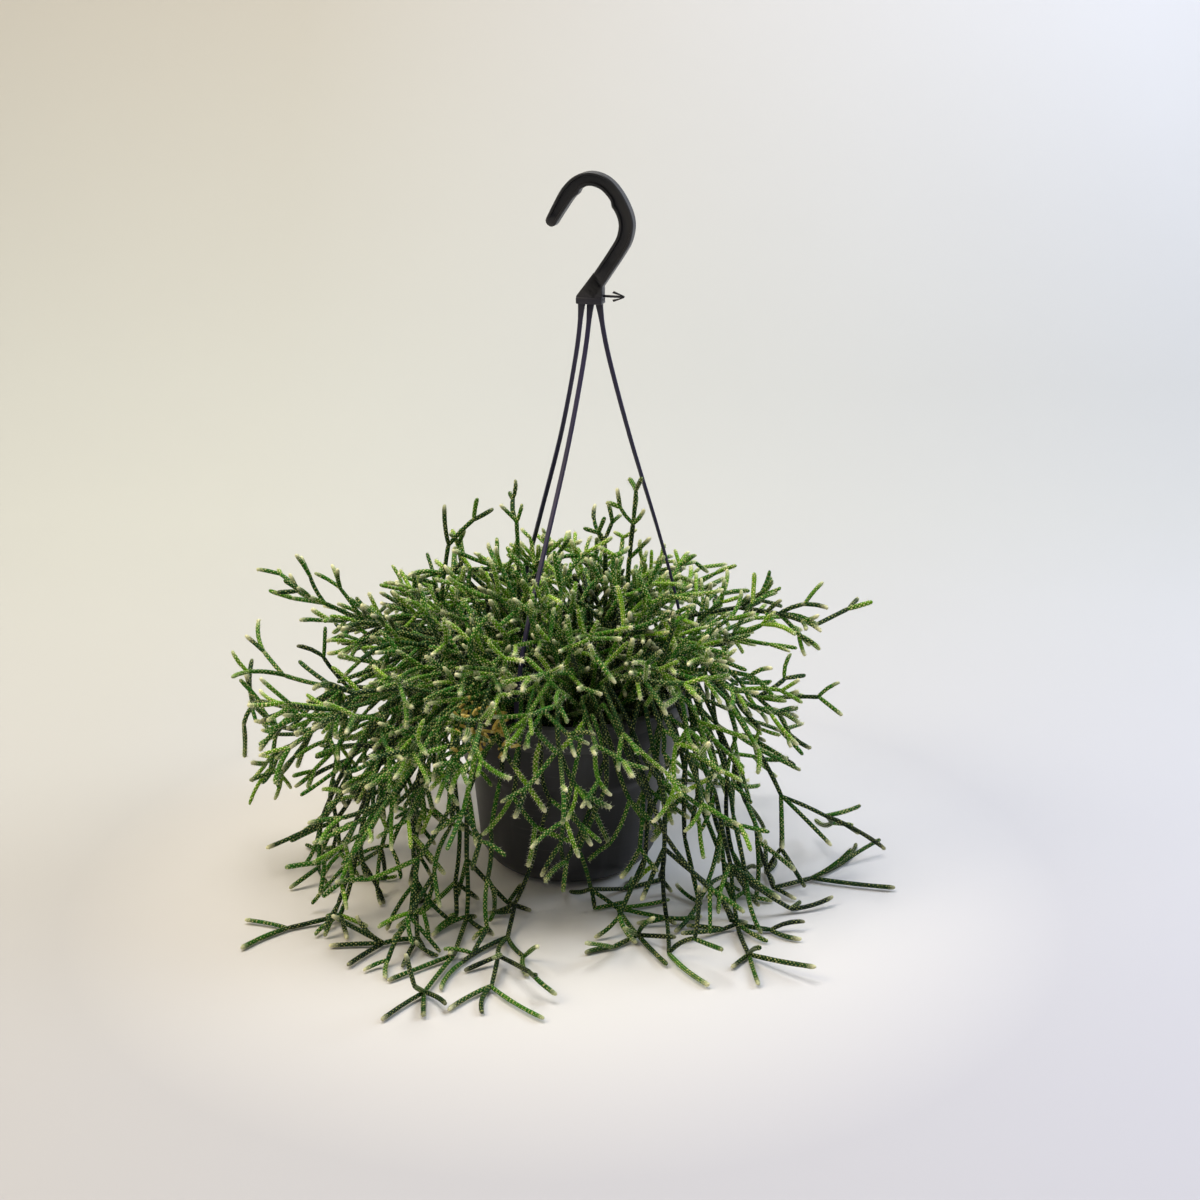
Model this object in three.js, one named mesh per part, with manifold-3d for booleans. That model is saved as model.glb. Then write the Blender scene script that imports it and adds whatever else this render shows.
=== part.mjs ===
// A rhipsalis pilocarpa in a plastic hanging pot that stands on its foot.
// Millimetres, +Z up, origin in the middle of the pot's foot. -Y is the front.
import * as THREE from 'three';
import { mergeVertices } from 'three/addons/utils/BufferGeometryUtils.js';
import Module from 'manifold-3d';

const manifold = await Module();
manifold.setup();

// Driving dimensions of the pot
const POT_HEIGHT = 129;
const RIM_R = 85; // outside of the rim band
const RIM_DEPTH = 16.4; // height of the rim band
const SHELF_T = 2; // thickness of the rim's flat top
const WALL = 1.6;
const EDGE = 1; // chamfer along the rim
const DRAFT = 0.2; // lean of the rim band's inner face
const STEP_EASE = 0.6; // the step lies this much higher on the inside
const FOOT_R = 41; // flat foot, inside the round bottom corner
const CORNER_R = 22;
const STEP_BELOW = { r: 67.5, z: 71.5 }; // the step in the wall, lower and upper edge
const STEP_ABOVE = { r: 74, z: 82 };
const WALL_TOP_R = 77.4; // outside of the wall where it meets the rim's flat top
const POT_SIDES = 32;
const CORNER_STEPS = 3;
const DRAIN = { count: 6, r: 4, ring: 28, sides: 8 };

// Driving dimensions of the soil
const GAP = 0.3; // between pieces that touch
const SOIL_Z = 113; // its highest rough spot lies 2 mm above
const SOIL_SIDES = 16; // every second corner of the pot
const SOIL_R = 74; // where its top rounds off below the rim
const SOIL_RINGS = [71, 54, 36, 18, 0]; // radii of the rough top's rings of corners
const ROOT_Z = 95; // the stems end this low in the soil
const HOLE_R = 3.6; // corner radius of a four-sided root hole
const HOLE_SIDES = 4;

// Driving dimensions of the hanger
const HOOK_X = 15.9; // the hanger leans a little to the right
const HOOK_TURN = -16; // degrees about the vertical
const HOOK_T = 8;
const HOOK_HALF_W = 4.75;
const TIP_HALF_W = 3.7;
const SEAT_DIP = 0.8; // the inner edge is cut back where the hook hangs
const SEAT = { from: 0.27, to: 0.52 }; // along the hook
const RECESS = { margin: 1.9, depth: 2.4, from: 0.02, to: 0.94 };
const HOOK_STEPS = 20;
const RECESS_STEPS = 15;
const LIP = { z0: 392.4, z1: 396.8, t: 9.6, half: 8.7 };
const HOOK_LINE = [ // middle of the hook, from its tip over the top down to the block
  [-25.2, 444.4], [-20.1, 453], [-14.3, 462], [-7.8, 468.4], [0.4, 471.2], [9.2, 468.8], [15.9, 462.6],
  [21.4, 453.6], [24.3, 444.4], [22.8, 434.6], [18, 426], [10.5, 414.8], [2.9, 403.5], [-0.2, 399],
];
const BLOCK_OUTLINE = [[-8.7, 394], [8.7, 394], [8.7, 406], [3.2, 413], [-8.7, 397.4]];
const BLOCK_RECESS = [[-4.8, 398.6], [6.6, 398.6], [6.6, 404], [2.6, 406]];
const BARB = { z: 397.6, from: 8.2, to: 22.1, t: 1.5, back: 7.4, spread: 1.8 };

const STRAP = {
  w: 3, t: 2, topW: 4.8, topT: 2.4, flareT: 2.2, taper: 13, neck: 1.2, socket: 3.8, play: 0.3,
};
const CLIP = { w: 5, t: 2, top: 152, headW: 8, headT: 2.4, headH: 2.2 };
const SLOT_R = 80.4; // distance of the rim slots from the pot's middle
const STRAPS = [ // where each strap meets the rim (degrees), where it leaves the block, and its slack
  { name: 'strap_right', heading: 0, offset: 5.9, slack: 0 },
  { name: 'strap_front_left', heading: -113, offset: 0, slack: 0.042 },
  { name: 'strap_back_left', heading: 117, offset: -5.9, slack: 0.058 },
];
const STRAP_BOW = [ // height, and how far out towards the rim the strap has come
  [392, 0], [359, 0.1], [302, 0.355], [239, 0.675], [193, 0.885], [164, 0.975], [148, 1], [140, 1],
];

// Driving dimensions of the plant
const STEM_R = 2.2; // corner radius of a four-sided main stem, as wide on average as a round one of 4 mm
const TWIG_R = 2.4; // the same for a three-sided side branch
const TWIG_NECK = 0.42; // a side branch narrows to this where it joins
const ROOT_BACK = 1; // a side branch leaves the stem this far before its node
const OWN_ROOM = 9; // and clears its own spray from this far on
const STEM_GAP = 0.4;
const STRAP_REACH = 2.8; // corner radius of the widest part of a strap
const FLOOR_Z = 2.4; // middle of a stem that lies on the surface
const SPREAD = { low: [-220, -226, 0], high: [224, 154, 290] }; // no node grows outside this box
const ROOF_SLOPE = 0.28; // the bush gets lower towards the back
const SEED = 7;

const PLASTIC = new THREE.MeshStandardMaterial({ color: 0x2b2b2f, roughness: 0.55, metalness: 0 });
const HANGER_PLASTIC = new THREE.MeshStandardMaterial({ color: 0x26272c, roughness: 0.45, metalness: 0 });
const SOIL = new THREE.MeshStandardMaterial({ color: 0x2a2019, roughness: 0.95, metalness: 0 });
const STEM = new THREE.MeshStandardMaterial({ color: 0x4a6b2c, roughness: 0.7, metalness: 0 });

const degrees = THREE.MathUtils.degToRad;

// Booleans
function solid(geometry) {
  const bare = geometry.clone();
  bare.deleteAttribute('normal');
  bare.deleteAttribute('uv');
  const merged = mergeVertices(bare, 1e-4);
  const vertProperties = new Float32Array(merged.attributes.position.array);
  const triVerts = new Uint32Array(merged.index.array);
  return new manifold.Manifold(new manifold.Mesh({ numProp: 3, vertProperties, triVerts }));
}

function join(solids) {
  return solids.reduce((sum, next) => sum.add(next));
}

function mesh(name, body, material) {
  const { vertProperties, triVerts } = body.getMesh();
  const geometry = new THREE.BufferGeometry();
  geometry.setAttribute('position', new THREE.BufferAttribute(vertProperties, 3));
  geometry.setIndex(new THREE.BufferAttribute(triVerts, 1));
  geometry.computeVertexNormals();
  const piece = new THREE.Mesh(geometry, material);
  piece.name = name;
  return piece;
}

// Pot
function cornerArc(radius, inset) {
  const points = [];
  for (let i = 0; i <= CORNER_STEPS; i += 1) {
    const turn = (Math.PI / 2) * (i / CORNER_STEPS);
    points.push([FOOT_R + radius * Math.sin(turn), CORNER_R - radius * Math.cos(turn)]);
  }
  return inset ? points.reverse() : points;
}

function lathe(outline, sides) {
  const points = outline.map(([r, z]) => new THREE.Vector2(r, z));
  return new THREE.LatheGeometry(points, sides).rotateX(Math.PI / 2);
}

function potBody() {
  const bandZ = POT_HEIGHT - RIM_DEPTH;
  const shelfZ = POT_HEIGHT - SHELF_T;
  const outline = [
    [0, 0],
    ...cornerArc(CORNER_R, false),
    [STEP_BELOW.r, STEP_BELOW.z],
    [STEP_ABOVE.r, STEP_ABOVE.z],
    [WALL_TOP_R, shelfZ],
    [RIM_R - WALL - DRAFT, shelfZ],
    [RIM_R - WALL, bandZ],
    [RIM_R, bandZ],
    [RIM_R, POT_HEIGHT - EDGE],
    [RIM_R - EDGE, POT_HEIGHT],
    [WALL_TOP_R - WALL + EDGE, POT_HEIGHT],
    [WALL_TOP_R - WALL, POT_HEIGHT - EDGE],
    [STEP_ABOVE.r - WALL, STEP_ABOVE.z + STEP_EASE],
    [STEP_BELOW.r - WALL, STEP_BELOW.z + STEP_EASE],
    ...cornerArc(CORNER_R - WALL, true),
    [0, WALL],
  ];
  return solid(lathe(outline, POT_SIDES));
}

function pot() {
  const cuts = [];
  for (let i = 0; i < DRAIN.count; i += 1) {
    const turn = (2 * Math.PI * (i + 0.5)) / DRAIN.count;
    const drill = new THREE.CylinderGeometry(DRAIN.r, DRAIN.r, 4 * WALL, DRAIN.sides);
    drill.rotateX(Math.PI / 2);
    drill.translate(DRAIN.ring * Math.cos(turn), DRAIN.ring * Math.sin(turn), WALL / 2);
    cuts.push(solid(drill));
  }
  for (const { heading } of STRAPS) {
    const slot = new THREE.BoxGeometry(CLIP.t + 2 * STRAP.play, CLIP.w + 2 * STRAP.play, 3 * SHELF_T);
    slot.translate(SLOT_R, 0, POT_HEIGHT - SHELF_T / 2).rotateZ(degrees(heading));
    cuts.push(solid(slot));
  }
  return potBody().subtract(join(cuts));
}

// Soil, with a plain hole for each stem
function soilTop(x, y) {
  return 0.9 * Math.sin(0.21 * x + 0.4) * Math.cos(0.17 * y) + 0.7 * Math.sin(0.11 * (x + y) + 2);
}

function soil(roots) {
  const outline = [
    [0, WALL + GAP],
    ...cornerArc(CORNER_R - WALL - GAP, false),
    [STEP_BELOW.r - WALL - GAP, STEP_BELOW.z + STEP_EASE],
    [STEP_ABOVE.r - WALL - GAP, STEP_ABOVE.z + STEP_EASE],
    [SOIL_R, SOIL_Z - 3],
    ...SOIL_RINGS.map((r) => [r, SOIL_Z]),
  ];
  const geometry = lathe(outline, SOIL_SIDES);
  const position = geometry.attributes.position;
  for (let i = 0; i < position.count; i += 1) {
    if (position.getZ(i) > SOIL_Z - 1) {
      position.setZ(i, position.getZ(i) + soilTop(position.getX(i), position.getY(i)));
    }
  }
  const holes = roots.map((root) => {
    const depth = SOIL_Z + 10 - (ROOT_Z - GAP);
    const hole = new THREE.CylinderGeometry(HOLE_R, HOLE_R, depth, HOLE_SIDES).rotateX(Math.PI / 2);
    return solid(hole.translate(root.x, root.y, ROOT_Z - GAP + depth / 2));
  });
  return solid(geometry).subtract(join(holes));
}

// Hanger
function plate(points, thickness) {
  const shape = new THREE.Shape(points.map(([x, z]) => new THREE.Vector2(x, z)));
  const geometry = new THREE.ExtrudeGeometry(shape, { depth: thickness, bevelEnabled: false, steps: 1 });
  return geometry.translate(0, 0, -thickness / 2).rotateX(Math.PI / 2);
}

function placeOnHook(geometry) {
  return geometry.rotateZ(degrees(HOOK_TURN)).translate(HOOK_X, 0, 0);
}

function hookStrip(margin, from, to, steps) {
  const line = new THREE.SplineCurve(HOOK_LINE.map(([x, z]) => new THREE.Vector2(x, z)));
  const outer = [];
  const inner = [];
  for (let i = 0; i <= steps; i += 1) {
    const u = from + ((to - from) * i) / steps;
    const middle = line.getPointAt(u);
    const way = line.getTangentAt(u);
    const half = THREE.MathUtils.lerp(TIP_HALF_W, HOOK_HALF_W, Math.min(1, u / 0.16)) - margin;
    const dip = u > SEAT.from && u < SEAT.to ? SEAT_DIP : 0;
    outer.push([middle.x - way.y * half, middle.y + way.x * half]);
    inner.push([middle.x + way.y * (half - dip), middle.y - way.x * (half - dip)]);
  }
  const end = line.getPointAt(from);
  const back = line.getTangentAt(from);
  const half = TIP_HALF_W - margin;
  const nose = [-0.5, 0.5].map((side) => [
    end.x - back.x * 0.87 * half + back.y * side * half,
    end.y - back.y * 0.87 * half - back.x * side * half,
  ]);
  return [...outer, ...inner.reverse(), nose[1], nose[0]];
}

function barb() {
  const { z, from, to, t, back, spread } = BARB;
  const h = t / 2;
  return [
    [from, z - h], [to - 2 * h, z - h], [to - back, z - spread], [to - back + h, z - spread - 2 * h],
    [to, z - h], [to, z + h], [to - back + h, z + spread + 2 * h], [to - back, z + spread],
    [to - 2 * h, z + h], [from, z + h],
  ];
}

function hook() {
  const lip = new THREE.BoxGeometry(2 * LIP.half, LIP.t, LIP.z1 - LIP.z0);
  const body = join([
    solid(placeOnHook(plate(hookStrip(0, 0, 1, HOOK_STEPS), HOOK_T))),
    solid(placeOnHook(plate(BLOCK_OUTLINE, HOOK_T))),
    solid(placeOnHook(lip.translate(0, 0, (LIP.z0 + LIP.z1) / 2))),
    solid(placeOnHook(plate(barb(), BARB.t))),
  ]);
  const cuts = [];
  for (const side of [-1, 1]) {
    const shift = side * (HOOK_T - RECESS.depth / 2);
    const strip = hookStrip(RECESS.margin, RECESS.from, RECESS.to, RECESS_STEPS);
    cuts.push(solid(placeOnHook(plate(strip, HOOK_T).translate(0, shift, 0))));
    cuts.push(solid(placeOnHook(plate(BLOCK_RECESS, HOOK_T).translate(0, shift, 0))));
  }
  for (const { offset } of STRAPS) {
    const socket = new THREE.BoxGeometry(STRAP.topW + 2 * GAP, STRAP.topT + 2 * GAP, 2 * STRAP.socket);
    cuts.push(solid(placeOnHook(socket.translate(offset, 0, LIP.z0))));
  }
  return body.subtract(join(cuts));
}

function strapRoute({ heading, offset, slack }) {
  const turn = degrees(HOOK_TURN);
  const top = new THREE.Vector2(HOOK_X + offset * Math.cos(turn), offset * Math.sin(turn));
  const rim = new THREE.Vector2(SLOT_R * Math.cos(degrees(heading)), SLOT_R * Math.sin(degrees(heading)));
  return STRAP_BOW.map(([z, out]) => {
    const at = top.clone().lerp(rim, out - 4 * slack * out * (1 - out));
    return new THREE.Vector3(at.x, at.y, z);
  });
}

function strap(spec) {
  const route = strapRoute(spec);
  const first = route[0];
  const last = route[route.length - 1];
  const lean = Math.atan2(last.y - first.y, last.x - first.x);
  const side = (half) => route.map((p) => [Math.hypot(p.x - first.x, p.y - first.y) + half, p.z]);
  const ribbon = plate([...side(-STRAP.t / 2), ...side(STRAP.t / 2).reverse()], STRAP.w);
  ribbon.rotateZ(lean).translate(first.x, first.y, 0);

  const flare = plate([
    [-STRAP.topW / 2, LIP.z0 - STRAP.neck / 2], [-STRAP.w / 2, LIP.z0 - STRAP.taper],
    [STRAP.w / 2, LIP.z0 - STRAP.taper], [STRAP.topW / 2, LIP.z0 - STRAP.neck / 2],
  ], STRAP.flareT);
  const flareShift = Math.hypot(route[1].x - first.x, route[1].y - first.y) / (first.z - route[1].z);
  const flarePlace = flare.attributes.position;
  for (let i = 0; i < flarePlace.count; i += 1) {
    const drop = LIP.z0 - flarePlace.getZ(i);
    flarePlace.setX(i, flarePlace.getX(i) + drop * flareShift * Math.cos(lean));
    flarePlace.setY(i, flarePlace.getY(i) + drop * flareShift * Math.sin(lean));
  }
  flare.translate(first.x, first.y, 0);

  const plugTop = LIP.z0 + STRAP.socket - GAP;
  const plugLow = LIP.z0 - STRAP.neck;
  const plug = new THREE.BoxGeometry(STRAP.topW, STRAP.topT, plugTop - plugLow);
  plug.translate(0, 0, (plugTop + plugLow) / 2).rotateZ(degrees(HOOK_TURN)).translate(first.x, first.y, 0);

  const shelfZ = POT_HEIGHT - SHELF_T;
  const clipLow = shelfZ - 1;
  const clip = new THREE.BoxGeometry(CLIP.t, CLIP.w, CLIP.top - clipLow);
  clip.translate(SLOT_R, 0, (CLIP.top + clipLow) / 2).rotateZ(degrees(spec.heading));
  const head = new THREE.BoxGeometry(CLIP.headT, CLIP.headW, CLIP.headH);
  head.translate(SLOT_R, 0, shelfZ - GAP - CLIP.headH / 2).rotateZ(degrees(spec.heading));
  return join([ribbon, flare, plug, clip, head].map(solid));
}

// Chance that comes out the same each time
class Dice {
  constructor(seed) {
    this.state = seed;
  }

  roll() {
    this.state = (this.state * 16807) % 2147483647;
    return this.state / 2147483647;
  }

  between(low, high) {
    return low + (high - low) * this.roll();
  }
}

// Shortest distance between the straight lines a-b and c-d
function lineGap(a, b, c, d) {
  const u = b.clone().sub(a);
  const v = d.clone().sub(c);
  const w = a.clone().sub(c);
  const uu = u.dot(u);
  const uv = u.dot(v);
  const vv = v.dot(v);
  const uw = u.dot(w);
  const vw = v.dot(w);
  const det = uu * vv - uv * uv;
  const clamp = (x) => Math.min(1, Math.max(0, x));
  let s = det > 1e-9 ? clamp((uv * vw - vv * uw) / det) : 0;
  let t = (uv * s + vw) / vv;
  if (t < 0 || t > 1) {
    t = clamp(t);
    s = clamp((uv * t - uw) / uu);
  }
  return w.addScaledVector(u, s).addScaledVector(v, -t).length();
}

// The space that the pot and its soil take, as radius and height
const POT_SPACE = [
  [0, 0], [FOOT_R, 0], [56.6, 6.4], [63, CORNER_R],
  [STEP_BELOW.r, STEP_BELOW.z], [STEP_ABOVE.r, STEP_ABOVE.z],
  [76, POT_HEIGHT - RIM_DEPTH], [RIM_R, POT_HEIGHT - RIM_DEPTH], [RIM_R, POT_HEIGHT],
  [75.4, POT_HEIGHT], [74.2, SOIL_Z + 4], [0, SOIL_Z + 4],
];

function potGap(point) {
  const r = Math.hypot(point.x, point.y);
  const z = point.z;
  let best = Infinity;
  let inside = false;
  POT_SPACE.forEach(([r0, z0], i) => {
    const [r1, z1] = POT_SPACE[(i + 1) % POT_SPACE.length];
    if (r0 > 0 || r1 > 0) {
      const dr = r1 - r0;
      const dz = z1 - z0;
      const t = Math.min(1, Math.max(0, ((r - r0) * dr + (z - z0) * dz) / (dr * dr + dz * dz)));
      best = Math.min(best, Math.hypot(r - r0 - t * dr, z - z0 - t * dz));
    }
    if ((z0 > z) !== (z1 > z) && r < r0 + ((z - z0) / (z1 - z0)) * (r1 - r0)) {
      inside = !inside;
    }
  });
  return inside ? -best : best;
}

// The direction way, tipped by tilt towards the side turn, both in degrees
function tipped(way, tilt, turn) {
  const side = way.clone().cross(new THREE.Vector3(0, 0, 1));
  if (side.lengthSq() > 1e-6) {
    side.normalize();
  } else {
    side.set(1, 0, 0);
  }
  const up = side.clone().cross(way);
  const t = degrees(tilt);
  const r = degrees(turn);
  const aim = way.clone().multiplyScalar(Math.cos(t));
  aim.addScaledVector(side, Math.sin(t) * Math.cos(r));
  return aim.addScaledVector(up, Math.sin(t) * Math.sin(r));
}

// How a spray grows: joint and side are lengths, lift bends the tips up, bare is the number of nodes
// near the soil without side branches, most is the number of its stems and roof is how high they reach
const HABIT = {
  joint: 38, wander: 8, side: [26, 46], tilt: 33, lift: 0.08,
  twiggy: 0.55, bare: 1, count: 3, tips: 3, most: 17, roof: SPREAD.high[2],
};

class Plant {
  constructor(seed) {
    this.dice = new Dice(seed);
    this.roof = SPREAD.high[2];
    this.lines = [];
    this.sprays = [];
    for (const spec of STRAPS) {
      const route = strapRoute(spec);
      route.push(new THREE.Vector3(route.at(-1).x, route.at(-1).y, POT_HEIGHT));
      this.keep(route, spec.name, STRAP_REACH);
    }
  }

  keep(points, owner, reach) {
    for (let i = 1; i < points.length; i += 1) {
      this.lines.push({ a: points[i - 1], b: points[i], owner, reach });
    }
  }

  // Whether the stretch a-b clears the pot, the straps, every other spray and, past its root, its own spray
  fits(a, b, owner) {
    const length = a.distanceTo(b);
    const steps = Math.max(1, Math.ceil(length / 4));
    for (let i = 0; i <= steps; i += 1) {
      if (potGap(a.clone().addScaledVector(b.clone().sub(a), i / steps)) < TWIG_R + STEM_GAP) {
        return false;
      }
    }
    const past = a.clone().addScaledVector(b.clone().sub(a), Math.min(0.8, OWN_ROOM / length));
    return this.lines.every((other) => (other.owner === owner
      ? lineGap(past, b, other.a, other.b) >= 2 * TWIG_R
      : lineGap(a, b, other.a, other.b) >= TWIG_R + other.reach + STEM_GAP));
  }

  // One stretch between two nodes, laid on the surface where it would pass it
  stretch(start, way, length, owner) {
    const end = start.clone().addScaledVector(way, length);
    end.z = Math.max(end.z, FLOOR_Z);
    const { low, high } = SPREAD;
    const inside = end.toArray().every((value, axis) => value >= low[axis] && value <= high[axis]);
    const below = end.z <= this.roof - ROOF_SLOPE * Math.max(0, end.y);
    return inside && below && this.fits(start, end, owner) ? end : null;
  }

  // The first try that finds room
  reachOut(start, way, length, owner, tries, tiltOf, shrink) {
    for (let attempt = 0; attempt < tries; attempt += 1) {
      const aim = tipped(way, tiltOf(attempt), this.dice.between(0, 360));
      if (start.z <= FLOOR_Z + 0.01 && aim.z < 0) {
        aim.setZ(0).normalize();
      }
      const end = this.stretch(start, aim, length * (1 - shrink * attempt), owner);
      if (end) {
        this.keep([start, end], owner, TWIG_R);
        return end;
      }
    }
    return null;
  }

  // A main stem that climbs out of the soil and passes its marks in turn
  climb(name, root, marks, own) {
    const habit = { ...HABIT, ...own };
    const { dice } = this;
    let here = new THREE.Vector3(root.x, root.y, SOIL_Z + 8);
    const line = [new THREE.Vector3(root.x, root.y, ROOT_Z), here];
    this.keep(line, name, TWIG_R);
    const nodes = [];
    for (const mark of marks) {
      let left = 1;
      let end = here;
      while (left > 0 && end) {
        const gap = mark.clone().sub(here);
        const far = gap.length();
        const stretches = Math.max(1, Math.round(far / habit.joint));
        const wander = stretches > 1 ? habit.wander : 0;
        const tiltOf = (attempt) => wander * dice.roll() + 5 * attempt * dice.roll();
        end = this.reachOut(here, gap.normalize(), far / stretches, name, 16, tiltOf, 0.02);
        if (end) {
          line.push(end);
          nodes.push({ at: end, way: end.clone().sub(here).normalize() });
          here = end;
        }
        left = stretches - 1;
      }
      if (!end) {
        break;
      }
    }
    this.sprays.push({ name, habit, nodes, stems: [line], count: 1 });
  }

  // A whorl of side branches round a node; the first one at the end of a line carries that line on
  whorl(spray, node, count, depth, line) {
    const { dice } = this;
    const { habit } = spray;
    const phase = dice.between(0, 360);
    const shrink = depth > 0 ? 1 : 0.72;
    for (let i = 0; i < count && spray.count < habit.most; i += 1) {
      const turn = phase + (360 * i) / count + dice.between(-25, 25);
      const tilt = dice.between(habit.tilt - 12, habit.tilt + 12);
      const aim = tipped(node.way, tilt, turn);
      aim.z += habit.lift;
      aim.normalize();
      const length = dice.between(habit.side[0], habit.side[1]) * shrink;
      const tiltOf = (attempt) => dice.between(0, 8 + 5 * attempt);
      const carriesOn = line.at(-1) === node.at;
      const root = carriesOn ? node.at : node.at.clone().addScaledVector(node.way, -ROOT_BACK);
      const end = this.reachOut(root, aim, length, spray.name, 10, tiltOf, 0.03);
      if (end) {
        const own = carriesOn ? line : [root];
        own.push(end);
        spray.count += 1;
        if (!carriesOn) {
          spray.stems.push(own);
        }
        if (depth > 0 && dice.roll() < habit.twiggy) {
          const twigs = dice.roll() < 0.3 ? 3 : 2;
          this.whorl(spray, { at: end, way: end.clone().sub(root).normalize() }, twigs, depth - 1, own);
        }
      }
    }
  }

  // Side branches from the tip of the main stem inwards
  dress(spray) {
    const { habit, nodes, stems } = spray;
    this.roof = habit.roof;
    for (let i = nodes.length - 1; i >= habit.bare; i -= 1) {
      this.whorl(spray, nodes[i], i === nodes.length - 1 ? habit.tips : habit.count, 1, stems[0]);
    }
  }
}

// Planting: each main stem has a root place (degrees and distance from the middle) and marks that it passes
const TRAIL = { bare: 2, side: [30, 52], tilt: 30, lift: 0.02, twiggy: 0.3, tips: 0, most: 14 };
const SHORT = { side: [17, 29] };
const NOTABLE = [
  ['tall_right', 20, 30, [[40, 6, 176], [42, -3, 222], [46, -8, 270]],
    { joint: 29, side: [14, 24], tips: 2, most: 9 }],
  ['mid_top', 60, 15, [[24, 10, 170], [25, 10, 200], [25, 10, 229]], { side: [12, 20], most: 9 }],
  ['top_fork', 180, 30, [[-33, 0, 166], [-33, 0, 202], [-34, 0, 246]], { side: [12, 20], most: 9 }],
  ['top_left', 150, 45, [[-66, 6, 156], [-86, 0, 190], [-80, 0, 230], [-82, 0, 257]],
    { side: [16, 28], count: 1, tips: 0 }],
  ['left_high', 172, 45,
    [[-90, -2, 166], [-141, 0, 176], [-166, 0, 188], [-184, 0, 197]], { ...SHORT, tips: 0 }],
  ['left_cluster', 164, 60,
    [[-95, 14, 156], [-145, 4, 120], [-180, 0, 92], [-203, 0, 97]], { side: [20, 34] }],
  ['right_high', 0, 45, [[85, 8, 176], [117, 2, 184], [145, 0, 180], [171, 0, 172]], { ...SHORT, tips: 0 }],
  ['right_mid', -12, 60,
    [[90, -18, 152], [112, -14, 132], [131, -8, 122], [149, -6, 121]], { ...SHORT, tips: 0 }],
  ['trail_right', -28, 60,
    [[90, -50, 148], [112, -62, 96], [128, -64, 40], [140, -62, 4], [168, -46, 3], [223, -60, 3]], TRAIL],
  ['trail_right_up', 4, 60,
    [[98, 2, 148], [126, -22, 96], [146, -40, 62], [177, -40, 47], [200, -40, 34]], TRAIL],
  ['trail_front_right', -48, 60,
    [[70, -68, 148], [84, -80, 118], [98, -84, 84], [108, -100, 40], [112, -114, 4], [120, -186, 3]],
    TRAIL],
  ['trail_front_mid', -62, 60,
    [[52, -88, 142], [62, -100, 100], [64, -96, 50], [66, -108, 5], [66, -149, 3], [89, -187, 3]], TRAIL],
  ['trail_front', -78, 60,
    [[24, -96, 146], [26, -106, 100], [8, -96, 50], [16, -84, 14], [34, -90, 3], [47, -126, 3],
      [64, -162, 3]], TRAIL],
  ['trail_front_left', -98, 60,
    [[-14, -98, 144], [-10, -106, 90], [-22, -94, 42], [-34, -98, 12], [-38, -129, 3], [-45, -189, 3],
      [-12, -225, 3]], TRAIL],
  ['trail_long_left', -122, 60,
    [[-46, -92, 146], [-64, -96, 90], [-66, -92, 40], [-66, -104, 4], [-71, -151, 3], [-86, -196, 3],
      [-84, -222, 3]], TRAIL],
  ['trail_left_a', -140, 60,
    [[-80, -70, 146], [-98, -92, 90], [-98, -104, 30], [-96, -130, 3], [-118, -136, 3], [-137, -163, 3]],
    TRAIL],
  ['trail_left_b', -158, 60,
    [[-98, -40, 148], [-128, -66, 90], [-140, -86, 40], [-150, -104, 5], [-163, -124, 3]], TRAIL],
  ['trail_left_c', -176, 60, [[-104, -16, 148], [-150, -30, 84], [-172, -31, 36], [-184, -31, 5]], TRAIL],
];

// The rest leave their root straight outwards: heading, root distance, then marks as distance and height
const ARCHING = [
  ['hanging', { lift: -0.05, bare: 2, wander: 12, side: [28, 46], tips: 2 }, [
    [20, 60, [98, 146], [132, 84]], [38, 60, [98, 148], [136, 40]], [56, 60, [98, 146], [128, 80]],
    [76, 60, [98, 148], [136, 30]], [94, 60, [98, 146], [132, 84]], [112, 60, [100, 150], [146, 36]],
    [130, 60, [104, 152], [164, 80]], [147, 60, [108, 152], [176, 44]],
  ]],
  ['shoulder', { lift: 0.02, wander: 12, side: [24, 42], roof: 214 }, [
    [22, 45, [78, 166], [118, 150]], [52, 45, [78, 168], [120, 150]], [80, 45, [78, 168], [120, 146]],
    [106, 45, [80, 170], [126, 150]], [130, 45, [84, 170], [150, 152]], [190, 45, [96, 166], [186, 122]],
    [208, 45, [92, 164], [168, 142]], [226, 45, [92, 162], [160, 98]], [246, 45, [88, 160], [134, 110]],
    [268, 45, [84, 162], [114, 130]], [290, 45, [80, 160], [108, 134]], [314, 45, [80, 160], [114, 112]],
    [338, 45, [80, 162], [116, 134]],
  ]],
  ['crown', { lift: 0, wander: 12, side: [18, 32], tilt: 38, roof: 226 }, [
    [50, 30, [50, 156], [82, 178]], [82, 30, [50, 156], [80, 176]], [114, 30, [50, 158], [84, 178]],
    [148, 30, [60, 160], [112, 178]], [212, 30, [60, 156], [112, 164]], [242, 30, [52, 154], [90, 166]],
    [270, 30, [50, 152], [76, 168]], [300, 30, [50, 152], [78, 168]], [330, 30, [50, 154], [82, 172]],
    [130, 15, [24, 156], [44, 188]], [200, 15, [26, 154], [50, 184]], [268, 15, [24, 154], [44, 182]],
    [338, 15, [26, 154], [44, 184]], [0, 0, [3, 156], [8, 190]],
  ]],
];

function around(heading, distance, z) {
  return new THREE.Vector3(distance * Math.cos(degrees(heading)), distance * Math.sin(degrees(heading)), z);
}

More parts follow.
